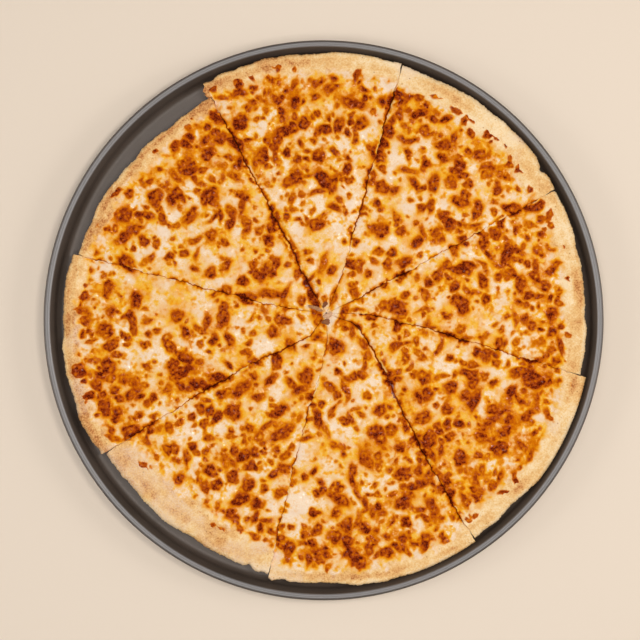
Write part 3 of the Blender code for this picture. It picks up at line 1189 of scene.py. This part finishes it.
    def store(self, piece: bpy.types.Object, radius: Array, across: Array, x: Array, y: Array, loop: Array,
              widest: Array) -> None:
        """Stores on the points how browned they are, where the film shows dough, its toast and its flour.

        The wall of a cut is brown where the cheese is torn, and painted darker where the cut gapes more, as
        painted shade in the gap. The film turns to dough by a smooth step of the distance past the melted
        edge, which flecks make ragged, but not under a stray spot.

        Args:
            piece: The cheese, with its face first, then the two loops of its wall.
            radius: Distances of the face's points from the crossing.
            across: Their shares of the way across the slice.
            x: Their X.
            y: Their Y.
            loop: Indices of the points round the face's edge.
            widest: How far the cut gapes at each point of the loop.
        """
        plan, number = self.plan, self.number
        over = radius - plan.melted_edge(number, across) + 1.6 * self.top.flecks.at(x, y)
        bare = 1.0 - self.top.strays.at(x, y)
        rim = smooth_step((over + 1.8) / 3.8) * bare
        hidden = np.zeros(2 * len(loop))
        brown = self.browned(radius, across, x, y)
        brown = brown * (1.0 - 0.6 * smooth_step((over + 3.6) / 3.0) * bare)
        # Painted shade in the gap: the wider the cut, the darker its walls.
        depth = 0.34 * np.clip(widest - 0.4, 0.0, 1.2) + 0.08 * wave(radius[loop], 180 + number, 2.3)
        torn_brown_and_shade = np.clip(0.72 + 0.26 * brown[loop] + depth, 0.0, 1.0)
        paint(piece, "browning", np.concatenate([brown, torn_brown_and_shade, torn_brown_and_shade]))
        paint(piece, "rim", np.concatenate([rim, hidden]))
        toast = self.top.toast.at(x, y) + plan.amber(number, radius, across, x, y)
        paint(piece, "toast", np.concatenate([toast, hidden]))
        flour = self.top.flour.at(x, y) * (1.0 - 0.8 * plan.ridge(number, radius, across))
        paint(piece, "flour", np.concatenate([flour, hidden]))


@dataclass(frozen=True)
class DoughSlice(Part):
    """The dough of one slice: its bed, its rim with fine crags, and its cut faces."""

    number: int
    plan: Plan
    top: OvenTop
    strips: int = 280
    tip: float = 0.9
    gap: float = 0.24
    under_inset: float = 4.0
    wall_setback: float = 2.8
    low_rows: int = 15
    bed_stops: tuple[float, ...] = (60.0, 120.0)
    lean: float = 0.8

    def surface(self, radius: Array, across: Array, x: Array, y: Array) -> Array:
        """Height of the rim's face with its relief, at points of the slice.

        Args:
            radius: Distances from the crossing.
            across: Shares of the way across the slice.
            x: X of the points.
            y: Y of the points.

        Returns:
            The heights.
        """
        plan, number = self.plan, self.number
        inner = plan.rim_inner(number, across)
        width = plan.crumbly_reach(number, across) - inner
        share = (radius - inner) / width
        level = plan.rim_surface(share, width, plan.crest_height(number, across))
        return level + self.relief(share) * self.top.rim_relief.at(x, y)

    def relief(self, share: Array) -> Array:
        """How much of the relief shows: all of it on the rim's top, none on its steep outside."""
        return smooth_step((share + 0.3) / 0.2) * (1.0 - smooth_step((share - 0.8) / 0.16))

    def sections(self) -> tuple[Array, Array, Array]:
        """Radius, height and share across the rim of the closed section, as rows by strips.

        The section runs out along the underside, round the rolled lower edge, over the crest and back down
        to the bed. Its lower edge is a quarter ellipse.

        Returns:
            The radii, the heights and the shares.
        """
        plan, number = self.plan, self.number
        across = np.linspace(0.0, 1.0, self.strips)
        reach = plan.crumbly_reach(number, across)
        crest = plan.crest_height(number, across)
        inner = plan.rim_inner(number, across)
        width = reach - inner
        level = np.zeros_like(across)
        radii, heights, shares = [], [], []

        def add(radius: Array, height: Array, share: float) -> None:
            """Adds one row to the section.

            Args:
                radius: Distances from the crossing.
                height: Heights above the pizza's underside.
                share: Place across the rim.
            """
            radii.append(np.broadcast_to(radius, across.shape))
            heights.append(np.broadcast_to(height, across.shape))
            shares.append(np.full_like(across, share))

        for radius in (self.tip, *self.bed_stops):
            add(radius, level, -1.0)
        add(inner, level, 0.0)
        for turn in np.linspace(0.0, math.pi / 2.0, 12)[:-1]:
            radius = reach - self.under_inset * (1.0 - math.sin(turn))
            add(radius, plan.brink * crest * (1.0 - math.cos(turn)), 1.2)
        turns = np.linspace(math.pi / 2.0, 0.0, 24)[:-1]
        falling = plan.crest_at + (1.0 - plan.crest_at) * np.sin(turns) ** 0.5
        for share in (*falling, *np.linspace(plan.crest_at, 0.0, 26)):
            add(inner + share * width, plan.rim_surface(np.full_like(across, share), width, crest), share)
        foot = -self.wall_setback / width
        add(inner - self.wall_setback, plan.rim_surface(foot, width, crest), -0.1)
        add(inner - self.wall_setback, level + plan.bed_top, -0.6)
        for radius in (*self.bed_stops[::-1], self.tip):
            add(radius, level + plan.bed_top, -1.0)
        return np.stack(radii), np.stack(heights), np.stack(shares)

    def build(self) -> bpy.types.Object:
        """Makes the mesh, stores how baked it is, and puts it in the place of the slice's plain dough.

        The section is carried round the slice between its two cuts. Seeded crumbs roughen the outside, which
        leans out a little under the crest, and the two cut faces are closed from its lower to its upper rows.

        Returns:
            The piece.
        """
        plan, number = self.plan, self.number
        radii, heights, shares = self.sections()
        rows, columns = radii.shape
        across = np.linspace(0.0, 1.0, columns)
        inset = np.minimum(self.gap / 2.0 / radii, 0.04)
        inset = inset + 0.5 * smooth_step((shares - 0.5) / 0.5) / radii
        before = plan.cut_angle(number - 1, radii) - inset - plan.stray(number - 1, radii) * 0.5 / radii
        before = before + plan.flap(number, radii) / radii
        after = plan.cut_angle(number, radii) + inset - plan.stray(number, radii) * 0.5 / radii
        angle = before + (after - before) * across
        fine, coarse = grain(radii.shape, 1.4, 200 + number), grain(radii.shape, 3.5, 210 + number)
        crumbs = 0.5 * fine + 0.5 * coarse
        side = smooth_step((shares - 0.8) / 0.2)
        low_edge = np.exp(-((heights - 2.0) ** 2) / 4.0) * side
        crest = plan.crest_height(number, across)
        leaning = smooth_step(heights / crest / 0.4 - 0.95) * smooth_step((shares - 0.75) / 0.25)
        crumbled = side * 0.12 * np.abs(crumbs) + 0.2 * low_edge * np.maximum(crumbs, 0.0)
        radii = radii + self.lean * leaning * (shares < 1.1) - crumbled
        x = plan.centre[0] + radii * np.cos(angle)
        y = plan.centre[1] + radii * np.sin(angle)
        heights = heights + self.relief(shares) * (shares > -0.5) * self.top.rim_relief.at(x, y)
        points = np.stack([x, y, heights + plan.base], axis=-1).reshape(-1, 3)
        faces = [ring_faces(rows, columns, True)]
        low = np.arange(0, self.low_rows) * columns
        high = np.arange(rows - 1, self.low_rows - 1, -1) * columns
        for column, flip in ((0, False), (columns - 1, True)):
            first_at = radii[: self.low_rows, column]
            second_at = radii[rows - 1 : self.low_rows - 1 : -1, column]
            side_faces = zip_rows(low + column, first_at, high + column, second_at)
            faces.append(side_faces[:, ::-1] if flip else side_faces)
        piece = new_piece(f"baked_dough_{number}", points, np.concatenate(faces))
        toast = self.top.toast.at(x, y) + plan.amber(number, radii, across, x, y)
        toast = toast + 0.25 * side * (1.0 - np.clip(heights / 10.0, 0.0, 1.0))
        toast = toast + 0.1 * smooth_step((shares - 0.9) / 0.1)
        paint(piece, "toast", toast + 0.2 * low_edge * crumbs)
        paint(piece, "flour", self.top.flour.at(x, y) * (1.0 - 0.8 * plan.ridge(number, radii, across)))
        paint(piece, "sauced", shares < -0.5)
        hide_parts(f"crust_{number}")
        return piece


@dataclass(frozen=True)
class Crumb(Part):
    """A torn bit of dough or cheese lying at the crossing: a lumpy ellipsoid."""

    x: float
    y: float
    long: float
    wide: float
    high: float
    turn: float
    toast: float
    rings: int = 18
    columns: int = 32

    def build(self, name: str, ground: float) -> bpy.types.Object:
        """Makes the lump: on a sphere's grid, the radius is 1 plus a sum of seeded sines of both angles.

        Args:
            name: Name of the piece.
            ground: Height of its middle above the pan's underside.

        Returns:
            The piece.
        """
        tilt = math.pi * (np.arange(self.rings) + 0.5)[:, None] / self.rings
        turn = 2.0 * math.pi * np.arange(self.columns)[None, :] / self.columns
        phases = np.random.default_rng(int(self.long * 10.0 + self.turn)).uniform(0.0, 2.0 * math.pi, 5)
        lumps = 0.14 * np.sin(2 * turn + phases[0] + 2 * tilt)
        lumps = lumps + 0.12 * np.sin(3 * turn + phases[1]) * np.sin(tilt)
        lumps = lumps + 0.09 * np.sin(5 * turn + phases[2] + 3 * tilt) + 0.06 * np.sin(9 * turn + 7 * tilt)
        radius = 1.0 + lumps * np.sin(tilt)
        u = radius * np.sin(tilt) * np.cos(turn) * self.long / 2.0
        v = radius * np.sin(tilt) * np.sin(turn) * self.wide / 2.0
        z = ground + radius * np.cos(tilt) * self.high / 2.0
        bent = math.radians(self.turn)
        x = self.x + u * math.cos(bent) - v * math.sin(bent)
        y = self.y + u * math.sin(bent) + v * math.cos(bent)
        points = np.stack([x, y, z + 0.0 * x], axis=-1).reshape(-1, 3)
        poles = np.array([(self.x, self.y, ground + side * self.high / 2.0) for side in (1.0, -1.0)])
        points = np.concatenate([points, poles])
        piece = new_piece(name, points, shell_faces(self.rings, self.columns))
        paint(piece, "toast", np.full(len(points), self.toast))
        return piece


CRUMBS = (
    Crumb(-5.8, 8.8, 11.0, 2.8, 1.9, -17.0, 0.45),
    Crumb(1.9, -1.2, 6.0, 3.8, 2.4, -12.0, 0.85),
    Crumb(1.0, 11.5, 4.4, 3.2, 2.0, 60.0, 0.95),
    Crumb(3.2, 3.4, 6.0, 4.2, 2.0, 20.0, 0.2),
)


@dataclass(frozen=True)
class Pan(Part):
    """The turned pan: flat floor, steep wall and a rolled lip with a shallow groove along its crown."""

    radius: float = 203.2
    height: float = 16.0
    sheet: float = 1.5
    foot_radius: float = 195.5
    wall_top_radius: float = 197.9
    bead: float = 2.55
    groove: float = 0.22
    fillet: float = 5.4
    outer_fillet: float = 3.2
    squareness: float = 2.2
    lip_turns: tuple[float, float] = (165.0, -125.0)
    lip_points: int = 72
    fillet_points: int = 13
    wall_bend: tuple[float, float] = (1.3, 9.5)
    segments: int = 384

    def profile(self) -> Array:
        """Half section from the middle of the floor over the lip and back along the underside.

        The lip is a super-ellipse with a Gaussian groove along its crown, and both fillets are quarter
        circles.

        Returns:
            Points as radius and height, the first and the last on the axis.
        """
        bead_r, bead_z = self.radius - self.bead, self.height - self.bead
        turns = np.radians(np.linspace(*self.lip_turns, self.lip_points))
        across, up = np.cos(turns), np.sin(turns)
        power = self.squareness
        out = self.bead / (np.abs(across) ** power + np.abs(up) ** power) ** (1.0 / power)
        dip = self.groove * np.exp(-(((out * across + 0.4) / 0.38) ** 2)) * (up > 0.0)
        lip = np.stack([bead_r + out * across, bead_z + out * up - dip], 1)
        foot = self.foot_radius - self.fillet
        floor = np.array([(r, self.sheet) for r in (0.0, 40.0, 90.0, 140.0, 175.0, foot)])
        bend = np.linspace(0.0, math.pi / 2.0, self.fillet_points)[1:]
        fillet_in = np.stack([
            foot + self.fillet * np.sin(bend),
            self.sheet + self.fillet * (1.0 - np.cos(bend)),
        ], 1)
        set_in, bend_height = self.wall_bend
        wall_in = np.array([(self.wall_top_radius - set_in, bend_height), (self.wall_top_radius, bead_z)])
        outer_foot, rise = self.foot_radius + self.sheet, self.outer_fillet
        wall_out = np.array([(self.wall_top_radius + self.sheet - 0.4, bead_z - 2.6), (outer_foot, rise)])
        fillet_out = np.stack([outer_foot - rise * (1.0 - np.cos(bend)), rise * (1.0 - np.sin(bend))], 1)
        under = np.array([(r, 0.0) for r in (188.0, 140.0, 90.0, 40.0, 0.0)])
        return np.concatenate([floor, fillet_in, wall_in, lip, wall_out, fillet_out, under])

    def build(self) -> bpy.types.Object:
        """Turns the profile round the Z axis, closes the poles, and puts it in the place of the plain pan.

        The lip's crown and its inner line are painted paler, as painted highlights: Gaussian bands by the
        distance from the middle of the lip, dimmer along the groove.

        Returns:
            The piece.
        """
        ring = self.profile()[1:-1]
        angle = 2.0 * math.pi * np.arange(self.segments) / self.segments
        x = ring[:, :1] * np.cos(angle)
        y = ring[:, :1] * np.sin(angle)
        z = np.repeat(ring[:, 1:], self.segments, axis=1)
        points = np.stack([x, y, z], axis=-1).reshape(-1, 3)
        poles = np.array([(0.0, 0.0, self.sheet), (0.0, 0.0, 0.0)])
        faces = shell_faces(len(ring), self.segments)
        piece = new_piece("dark_pan", np.concatenate([points, poles]), faces, 40.0)
        from_bead = np.hypot(points[:, 0], points[:, 1]) - (self.radius - self.bead)
        # Painted highlights along the lip's crown and its inner line, dimmed in the groove.
        groove = 1.0 - 0.4 * np.exp(-(((from_bead + 0.45) / 0.35) ** 2))
        crown = np.exp(-(((from_bead + 0.4) / 1.5) ** 4)) * groove
        painted_lip_highlight = 0.3 * crown * smooth_step((points[:, 2] - self.height + 2.4) / 1.4)
        painted_lip_highlight = painted_lip_highlight + 0.22 * np.exp(-(((from_bead + 1.7) / 0.45) ** 2)) * (points[:, 2] > self.height - 2.6)
        paint(piece, "painted_lip_highlight", np.concatenate([painted_lip_highlight, np.zeros(2)]))
        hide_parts("pan")
        return piece


class Shader:
    """Short helpers round one material's node tree."""

    def __init__(self, name: str) -> None:
        """Starts a material with its Principled shader.

        Args:
            name: Name of the material.
        """
        self.material = bpy.data.materials.new(name)
        self.material.use_nodes = True
        self.nodes = self.material.node_tree.nodes
        self.links = self.material.node_tree.links
        self.surface = self.nodes["Principled BSDF"]

    def set(self, name: str, value: float) -> None:
        """Sets one of the shader's own sockets."""
        self.surface.inputs[name].default_value = value

    def link(self, source: bpy.types.NodeSocket, target: bpy.types.NodeSocket) -> None:
        """Joins two sockets."""
        self.links.new(source, target)

    def attribute(self, name: str) -> bpy.types.NodeSocket:
        """A number stored on the piece's points.

        Args:
            name: Name under which it is stored.

        Returns:
            The socket that gives it.
        """
        node = self.nodes.new("ShaderNodeAttribute")
        node.attribute_name = name
        return node.outputs["Fac"]

    def noise(self, scale: float, detail: float = 2.0, roughness: float = 0.5) -> bpy.types.NodeSocket:
        """Noise on Object coordinates, with `scale` features a metre.

        Args:
            scale: Features a metre.
            detail: Number of finer layers.
            roughness: Strength of the finer layers.

        Returns:
            The socket that gives it.
        """
        node = self.nodes.new("ShaderNodeTexNoise")
        node.inputs["Scale"].default_value = scale
        node.inputs["Detail"].default_value = detail
        node.inputs["Roughness"].default_value = roughness
        self.link(self.place(), node.inputs["Vector"])
        return node.outputs["Fac"]

    def cells(self, scale: float) -> bpy.types.NodeSocket:
        """Distance to the nearest of scattered points, with `scale` of them along a metre.

        Args:
            scale: Points along a metre.

        Returns:
            The socket that gives it.
        """
        node = self.nodes.new("ShaderNodeTexVoronoi")
        node.inputs["Scale"].default_value = scale
        self.link(self.place(), node.inputs["Vector"])
        return node.outputs["Distance"]

    def place(self) -> bpy.types.NodeSocket:
        """Object coordinates."""
        node = self.nodes.new("ShaderNodeTexCoord")
        return node.outputs["Object"]

    def math(self, kind: str, first: object, second: object, third: float = 0.0) -> bpy.types.NodeSocket:
        """One arithmetic step on sockets or numbers.

        Args:
            kind: Name of the step.
            first: Socket or number.
            second: Socket or number.
            third: Number that some steps add.

        Returns:
            The socket that gives it.
        """
        node = self.nodes.new("ShaderNodeMath")
        node.operation = kind
        for socket, value in zip(node.inputs, (first, second, third)):
            if isinstance(value, bpy.types.NodeSocket):
                self.link(value, socket)
            else:
                socket.default_value = value
        return node.outputs[0]

    def ramp(self, value: bpy.types.NodeSocket, stops: Stops) -> bpy.types.NodeSocket:
        """Colours along a value: pairs of place and sRGB colour.

        Args:
            value: Socket of the value.
            stops: Pairs of place and colour.

        Returns:
            The socket that gives it.
        """
        node = self.nodes.new("ShaderNodeValToRGB")
        elements = node.color_ramp.elements
        while len(elements) < len(stops):
            elements.new(0.5)
        for element, (at, colour) in zip(elements, stops):
            element.position = at
            element.color = linear(colour)
        self.link(value, node.inputs["Fac"])
        return node.outputs["Color"]

    def curve(self, value: bpy.types.NodeSocket, low: float, high: float, to_low: float,
              to_high: float) -> bpy.types.NodeSocket:
        """Maps a value from one range to another, held at the ends.

        Args:
            value: Socket of the value.
            low: Start of the first range.
            high: End of the first range.
            to_low: What the start becomes.
            to_high: What the end becomes.

        Returns:
            The socket that gives it.
        """
        node = self.nodes.new("ShaderNodeMapRange")
        self.link(value, node.inputs["Value"])
        for name, number in zip(("From Min", "From Max", "To Min", "To Max"), (low, high, to_low, to_high)):
            node.inputs[name].default_value = number
        return node.outputs["Result"]

    def mix(self, factor: object, first: object, second: object, kind: str = "MIX") -> bpy.types.NodeSocket:
        """Mixes two colours by a factor.

        Args:
            factor: Socket or number.
            first: Socket or colour.
            second: Socket or colour.
            kind: Way of mixing.

        Returns:
            The socket that gives it.
        """
        node = self.nodes.new("ShaderNodeMix")
        node.data_type = "RGBA"
        node.blend_type = kind
        for socket, value in ((node.inputs[0], factor), (node.inputs[6], first), (node.inputs[7], second)):
            if isinstance(value, bpy.types.NodeSocket):
                self.link(value, socket)
            else:
                socket.default_value = value
        return node.outputs[2]

    def bump(self, height: bpy.types.NodeSocket, strength: float, distance: float) -> None:
        """Fine relief on the shader's normal.

        Args:
            height: Socket of the height.
            strength: Strength of the relief.
            distance: Its depth in metres.
        """
        node = self.nodes.new("ShaderNodeBump")
        node.inputs["Strength"].default_value = strength
        node.inputs["Distance"].default_value = distance
        self.link(height, node.inputs["Height"])
        self.link(node.outputs["Normal"], self.surface.inputs["Normal"])


@dataclass(frozen=True)
class DoughColour:
    """Shades of baked dough, shared by the rim and by the film of cheese that runs over it."""

    shades: Stops = (
        (0.0, (249, 221, 178)),
        (0.3, (242, 203, 145)),
        (0.5, (234, 184, 118)),
        (0.68, (221, 163, 100)),
        (0.84, (200, 132, 74)),
        (1.0, (160, 96, 50)),
    )
    flour: tuple[int, int, int] = (236, 204, 172)
    speck: tuple[int, int, int] = (176, 116, 62)

    def socket(self, shader: Shader) -> bpy.types.NodeSocket:
        """Colour of the dough: shades by the stored toast, mottled, with floury patches and brown specks.

        Args:
            shader: Material that shows it.

        Returns:
            Socket of the colour.
        """
        mottle = shader.math("MULTIPLY_ADD", shader.noise(620.0, 5.0, 0.65), 0.6, -0.3)
        grit = shader.math("MULTIPLY_ADD", shader.noise(850.0, 2.0), 0.9, -0.45)
        toasted = shader.math("ADD", shader.math("MINIMUM", shader.attribute("toast"), 0.8), mottle)
        toasted = shader.math("ADD", toasted, grit)
        colour = shader.ramp(toasted, self.shades)
        dusty = shader.curve(shader.noise(900.0, 3.0), 0.4, 0.6, 0.25, 0.8)
        dust = shader.math("MULTIPLY", shader.attribute("flour"), dusty)
        colour = shader.mix(dust, colour, linear(self.flour))
        specks = shader.curve(shader.cells(170.0), 0.06, 0.13, 0.6, 0.0)
        return shader.mix(specks, colour, linear(self.speck))


@dataclass(frozen=True)
class CheeseFinish:
    """Melted cheese: cream where raw, then yellow, orange, red brown and nearly black with browning."""

    shades: Stops = (
        (0.0, (247, 222, 194)),
        (0.04, (243, 207, 166)),
        (0.1, (242, 197, 142)),
        (0.175, (240, 187, 114)),
        (0.25, (239, 178, 98)),
        (0.35, (237, 165, 62)),
        (0.45, (232, 150, 34)),
        (0.55, (224, 133, 14)),
        (0.65, (212, 116, 0)),
        (0.75, (198, 97, 2)),
        (0.825, (184, 82, 6)),
        (0.875, (171, 71, 8)),
        (0.92, (156, 59, 8)),
        (0.955, (139, 47, 6)),
        (0.98, (118, 34, 4)),
        (1.0, (76, 14, 2)),
    )
    milky: tuple[int, int, int] = (238, 209, 182)
    oil: tuple[float, float, float, float] = (1.02, 1.0, 0.3, 1.0)

    def material(self) -> bpy.types.Material:
        """Builds the material.

        Returns:
            The material.
        """
        shader = Shader("browned_cheese")
        browning = shader.attribute("browning")
        fine = shader.math("MULTIPLY_ADD", shader.noise(1100.0, 4.0, 0.6), 0.38, -0.19)
        value = shader.math("ADD", browning, fine)
        colour = shader.ramp(value, self.shades)
        stained = shader.curve(value, 0.08, 0.2, 0.0, 1.0)
        oily = shader.math("MULTIPLY", shader.curve(value, 0.8, 0.5, 0.0, 0.9), stained)
        oily = shader.math("MULTIPLY", oily, shader.curve(shader.noise(150.0, 3.0), 0.45, 0.55, 0.0, 1.0))
        colour = shader.mix(oily, colour, self.oil, "MULTIPLY")
        pale = shader.curve(value, 0.6, 0.06, 0.0, 1.0)
        milk = shader.math("MULTIPLY", pale, shader.curve(shader.noise(90.0, 3.0), 0.5, 0.62, 0.0, 0.6))
        colour = shader.mix(milk, colour, linear(self.milky))
        rim = shader.attribute("rim")
        colour = shader.mix(rim, colour, DoughColour().socket(shader))
        shader.link(colour, shader.surface.inputs["Base Color"])
        moist = shader.math("MULTIPLY", shader.noise(520.0, 2.0), shader.curve(rim, 0.0, 0.6, 1.0, 0.0))
        shader.set("Roughness", 0.5)
        shader.set("Specular IOR Level", 0.02)
        shader.link(shader.curve(moist, 0.57, 0.67, 0.0, 0.4), shader.surface.inputs["Coat Weight"])
        shader.set("Coat Roughness", 0.14)
        depth = shader.curve(browning, 0.4, 0.9, 0.4, 1.0)
        shader.bump(shader.math("MULTIPLY", shader.noise(1100.0, 3.0), depth), 0.8, 0.0007)
        return shader.material


@dataclass(frozen=True)
class DoughFinish:
    """Baked dough: pale golden and floury, browner below; dark with sauce where the cuts bare the bed."""

    sauce: tuple[int, int, int] = (96, 30, 14)

    def material(self) -> bpy.types.Material:
        """Builds the material.

        Returns:
            The material.
        """
        shader = Shader("baked_dough")
        colour = DoughColour().socket(shader)
        colour = shader.mix(shader.attribute("sauced"), colour, linear(self.sauce))
        shader.link(colour, shader.surface.inputs["Base Color"])
        shader.set("Roughness", 0.8)
        shader.set("Specular IOR Level", 0.12)
        pores = shader.math("ADD", shader.noise(800.0, 4.0, 0.6), shader.cells(700.0))
        shader.bump(pores, 0.5, 0.0006)
        return shader.material


@dataclass(frozen=True)
class CrumbFinish:
    """Torn bits at the crossing: pale smeared cheese to grey brown dough."""

    shades: Stops = (
        (0.0, (228, 186, 152)),
        (0.5, (172, 118, 76)),
        (1.0, (126, 72, 46)),
    )

    def material(self) -> bpy.types.Material:
        """Builds the material.

        Returns:
            The material.
        """
        shader = Shader("torn_bits")
        mottle = shader.math("MULTIPLY_ADD", shader.noise(900.0, 3.0), 0.5, -0.25)
        colour = shader.ramp(shader.math("ADD", shader.attribute("toast"), mottle), self.shades)
        shader.link(colour, shader.surface.inputs["Base Color"])
        shader.set("Roughness", 0.7)
        shader.set("Specular IOR Level", 0.1)
        shader.bump(shader.noise(1200.0, 3.0), 0.5, 0.0005)
        return shader.material


@dataclass(frozen=True)
class SauceFinish:
    """Baked tomato sauce: dark red and moist."""

    dark: tuple[int, int, int] = (92, 24, 14)
    light: tuple[int, int, int] = (140, 44, 22)

    def material(self) -> bpy.types.Material:
        """Builds the material.

        Returns:
            The material.
        """
        shader = Shader("tomato_sauce")
        colour = shader.ramp(shader.noise(300.0, 3.0), ((0.3, self.dark), (0.7, self.light)))
        shader.link(colour, shader.surface.inputs["Base Color"])
        shader.set("Roughness", 0.35)
        shader.bump(shader.noise(900.0, 2.0), 0.4, 0.0003)
        return shader.material


@dataclass(frozen=True)
class PanFinish:
    """Dark hard-coated metal, satin and warm grey with a fine even grain; painted highlights pale the lip."""

    dark: tuple[int, int, int] = (78, 68, 60)
    light: tuple[int, int, int] = (94, 82, 73)
    painted_lip_highlight: tuple[int, int, int] = (192, 193, 196)

    def material(self) -> bpy.types.Material:
        """Builds the material.

        Returns:
            The material.
        """
        shader = Shader("pan_metal")
        speckle = shader.noise(2600.0, 2.0, 0.6)
        cloud = shader.noise(26.0, 3.0)
        value = shader.math("ADD", shader.math("MULTIPLY", speckle, 0.6), shader.math("MULTIPLY", cloud, 0.4))
        colour = shader.ramp(value, ((0.38, self.dark), (0.62, self.light)))
        painted_lip_highlight = shader.attribute("painted_lip_highlight")
        # Painted highlight: a pale colour mixed in along the lip's bands, which are also made more metallic.
        colour = shader.mix(painted_lip_highlight, colour, linear(self.painted_lip_highlight))
        shader.link(colour, shader.surface.inputs["Base Color"])
        shader.link(shader.curve(cloud, 0.3, 0.7, 0.44, 0.52), shader.surface.inputs["Roughness"])
        shader.link(shader.curve(painted_lip_highlight, 0.0, 1.0, 0.2, 0.6), shader.surface.inputs["Metallic"])
        shader.set("Specular IOR Level", 0.5)
        shader.bump(speckle, 0.25, 0.0002)
        return shader.material


@dataclass(frozen=True)
class Lamp:
    """A square soft lamp aimed at the pan: its place in metres, its side, its power and its colour."""

    name: str
    place: tuple[float, float, float]
    side: float
    watts: float
    colour: tuple[float, float, float]

    def build(self) -> None:
        """Makes the lamp, turned to face the origin."""
        data = bpy.data.lights.new(self.name, "AREA")
        data.size = self.side
        data.energy = self.watts
        data.color = self.colour
        lamp = bpy.data.objects.new(self.name, data)
        lamp.location = self.place
        lamp.rotation_euler = (-lamp.location).to_track_quat("-Z", "Y").to_euler()
        bpy.context.scene.collection.objects.link(lamp)


@dataclass(frozen=True)
class Studio:
    """Pale floor, soft light strongest from the back right, and a camera straight above the pan."""

    camera_height: float = 1.2
    frame_width: float = 0.4645
    aim: tuple[float, float] = (-0.0026, 0.0002)
    lip_height: float = 0.0135
    sensor: float = 36.0
    floor_half: float = 6000.0
    floor_drop: float = 0.05
    floor_colour: tuple[int, int, int] = (233, 216, 197)
    sky: tuple[float, float] = (0.1, 1.8)
    sky_span: tuple[float, float] = (0.7, 0.97)
    sky_colour: tuple[float, float, float, float] = (1.0, 0.99, 0.98, 1.0)
    lamps: tuple[Lamp, ...] = (
        Lamp("key", (0.55, 0.15, 1.5), 0.4, 7.3, (1.0, 0.97, 0.93)),
        Lamp("left", (-0.5, 0.3, 1.6), 0.5, 2.4, (0.95, 0.97, 1.0)),
        Lamp("front", (-0.05, -0.5, 1.6), 0.5, 4.7, (1.0, 0.98, 0.95)),
        Lamp("ceiling", (-0.05, 0.1, 2.2), 0.3, 8.5, (1.0, 0.99, 0.98)),
        Lamp("side_right", (1.25, 0.1, 0.75), 0.35, 3.1, (1.0, 0.99, 0.98)),
        Lamp("side_left", (-1.25, -0.1, 0.75), 0.35, 2.3, (0.95, 0.97, 1.0)),
    )

    def floor(self) -> None:
        """A large pale sheet under the pan."""
        half, low = self.floor_half, -self.floor_drop
        corners = np.array([(-half, -half, low), (half, -half, low), (half, half, low), (-half, half, low)])
        mesh = bpy.data.meshes.new("floor")
        mesh.from_pydata((corners * METRE).tolist(), [], [(0, 1, 2, 3)])
        floor = bpy.data.objects.new("floor", mesh)
        bpy.context.scene.collection.objects.link(floor)
        shader = Shader("pale_floor")
        shader.surface.inputs["Base Color"].default_value = linear(self.floor_colour)
        shader.set("Roughness", 0.8)
        mesh.materials.append(shader.material)

    def sky_light(self) -> None:
        """A soft sky, dim overhead and brighter towards the left and right walls of the room."""
        world = bpy.data.worlds.new("soft_sky")
        world.use_nodes = True
        nodes, links = world.node_tree.nodes, world.node_tree.links
        place = nodes.new("ShaderNodeTexCoord")
        parts = nodes.new("ShaderNodeSeparateXYZ")
        fade = nodes.new("ShaderNodeMapRange")
        fade.interpolation_type = "SMOOTHSTEP"
        side = nodes.new("ShaderNodeMath")
        side.operation = "ABSOLUTE"
        for name, value in zip(("From Min", "From Max", "To Min", "To Max"), (*self.sky_span, *self.sky)):
            fade.inputs[name].default_value = value
        links.new(place.outputs["Generated"], parts.inputs["Vector"])
        links.new(parts.outputs["X"], side.inputs[0])
        links.new(side.outputs["Value"], fade.inputs["Value"])
        links.new(fade.outputs["Result"], nodes["Background"].inputs["Strength"])
        nodes["Background"].inputs["Color"].default_value = self.sky_colour
        bpy.context.scene.world = world

    def camera(self) -> None:
        """Camera looking straight down, framed as wide as the photograph at the lip's height."""
        data = bpy.data.cameras.new("above")
        data.sensor_width = self.sensor
        data.lens = self.sensor * (self.camera_height - self.lip_height) / self.frame_width
        camera = bpy.data.objects.new("above", data)
        camera.location = (self.aim[0], self.aim[1], self.camera_height)
        bpy.context.scene.collection.objects.link(camera)
        bpy.context.scene.camera = camera
        bpy.context.scene.view_settings.view_transform = "Standard"

    def build(self) -> None:
        """Makes the floor, the lights and the camera."""
        self.floor()
        self.sky_light()
        for lamp in self.lamps:
            lamp.build()
        self.camera()


def dress_node(name: str, material: bpy.types.Material) -> None:
    """Gives a carried-over node its material."""
    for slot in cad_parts[name].material_slots:
        slot.material = material


def main() -> None:
    """Builds the pan and the slices, dresses them, and sets up the studio."""
    logging.basicConfig(level=logging.INFO, format="%(message)s")
    Studio().build()
    plan = Plan()
    top = OvenTop.bake(plan, Browning())
    pan = Pan()
    metal = pan.build()
    pan.dress(metal, PanFinish().material())
    LOG.info("pan: %d triangles", len(metal.data.polygons))
    cheese_finish = CheeseFinish().material()
    dough_finish = DoughFinish().material()
    sauce_finish = SauceFinish().material()
    crumb_finish = CrumbFinish().material()
    for number in range(1, len(plan.wedges) + 1):
        for part, finish in (
            (CheeseSheet(number, plan, top), cheese_finish),
            (DoughSlice(number, plan, top), dough_finish),
        ):
            piece = part.build()
            part.dress(piece, finish)
            LOG.info("%s: %d triangles", piece.name, len(piece.data.polygons))
        dress_node(f"sauce_{number}", sauce_finish)
    for number, crumb in enumerate(CRUMBS):
        bit = crumb.build(f"torn_bit_{number}", plan.base + plan.cheese_top)
        crumb.dress(bit, crumb_finish)
        LOG.info("%s: %d triangles", bit.name, len(bit.data.polygons))


if __name__ == "__main__":
    main()
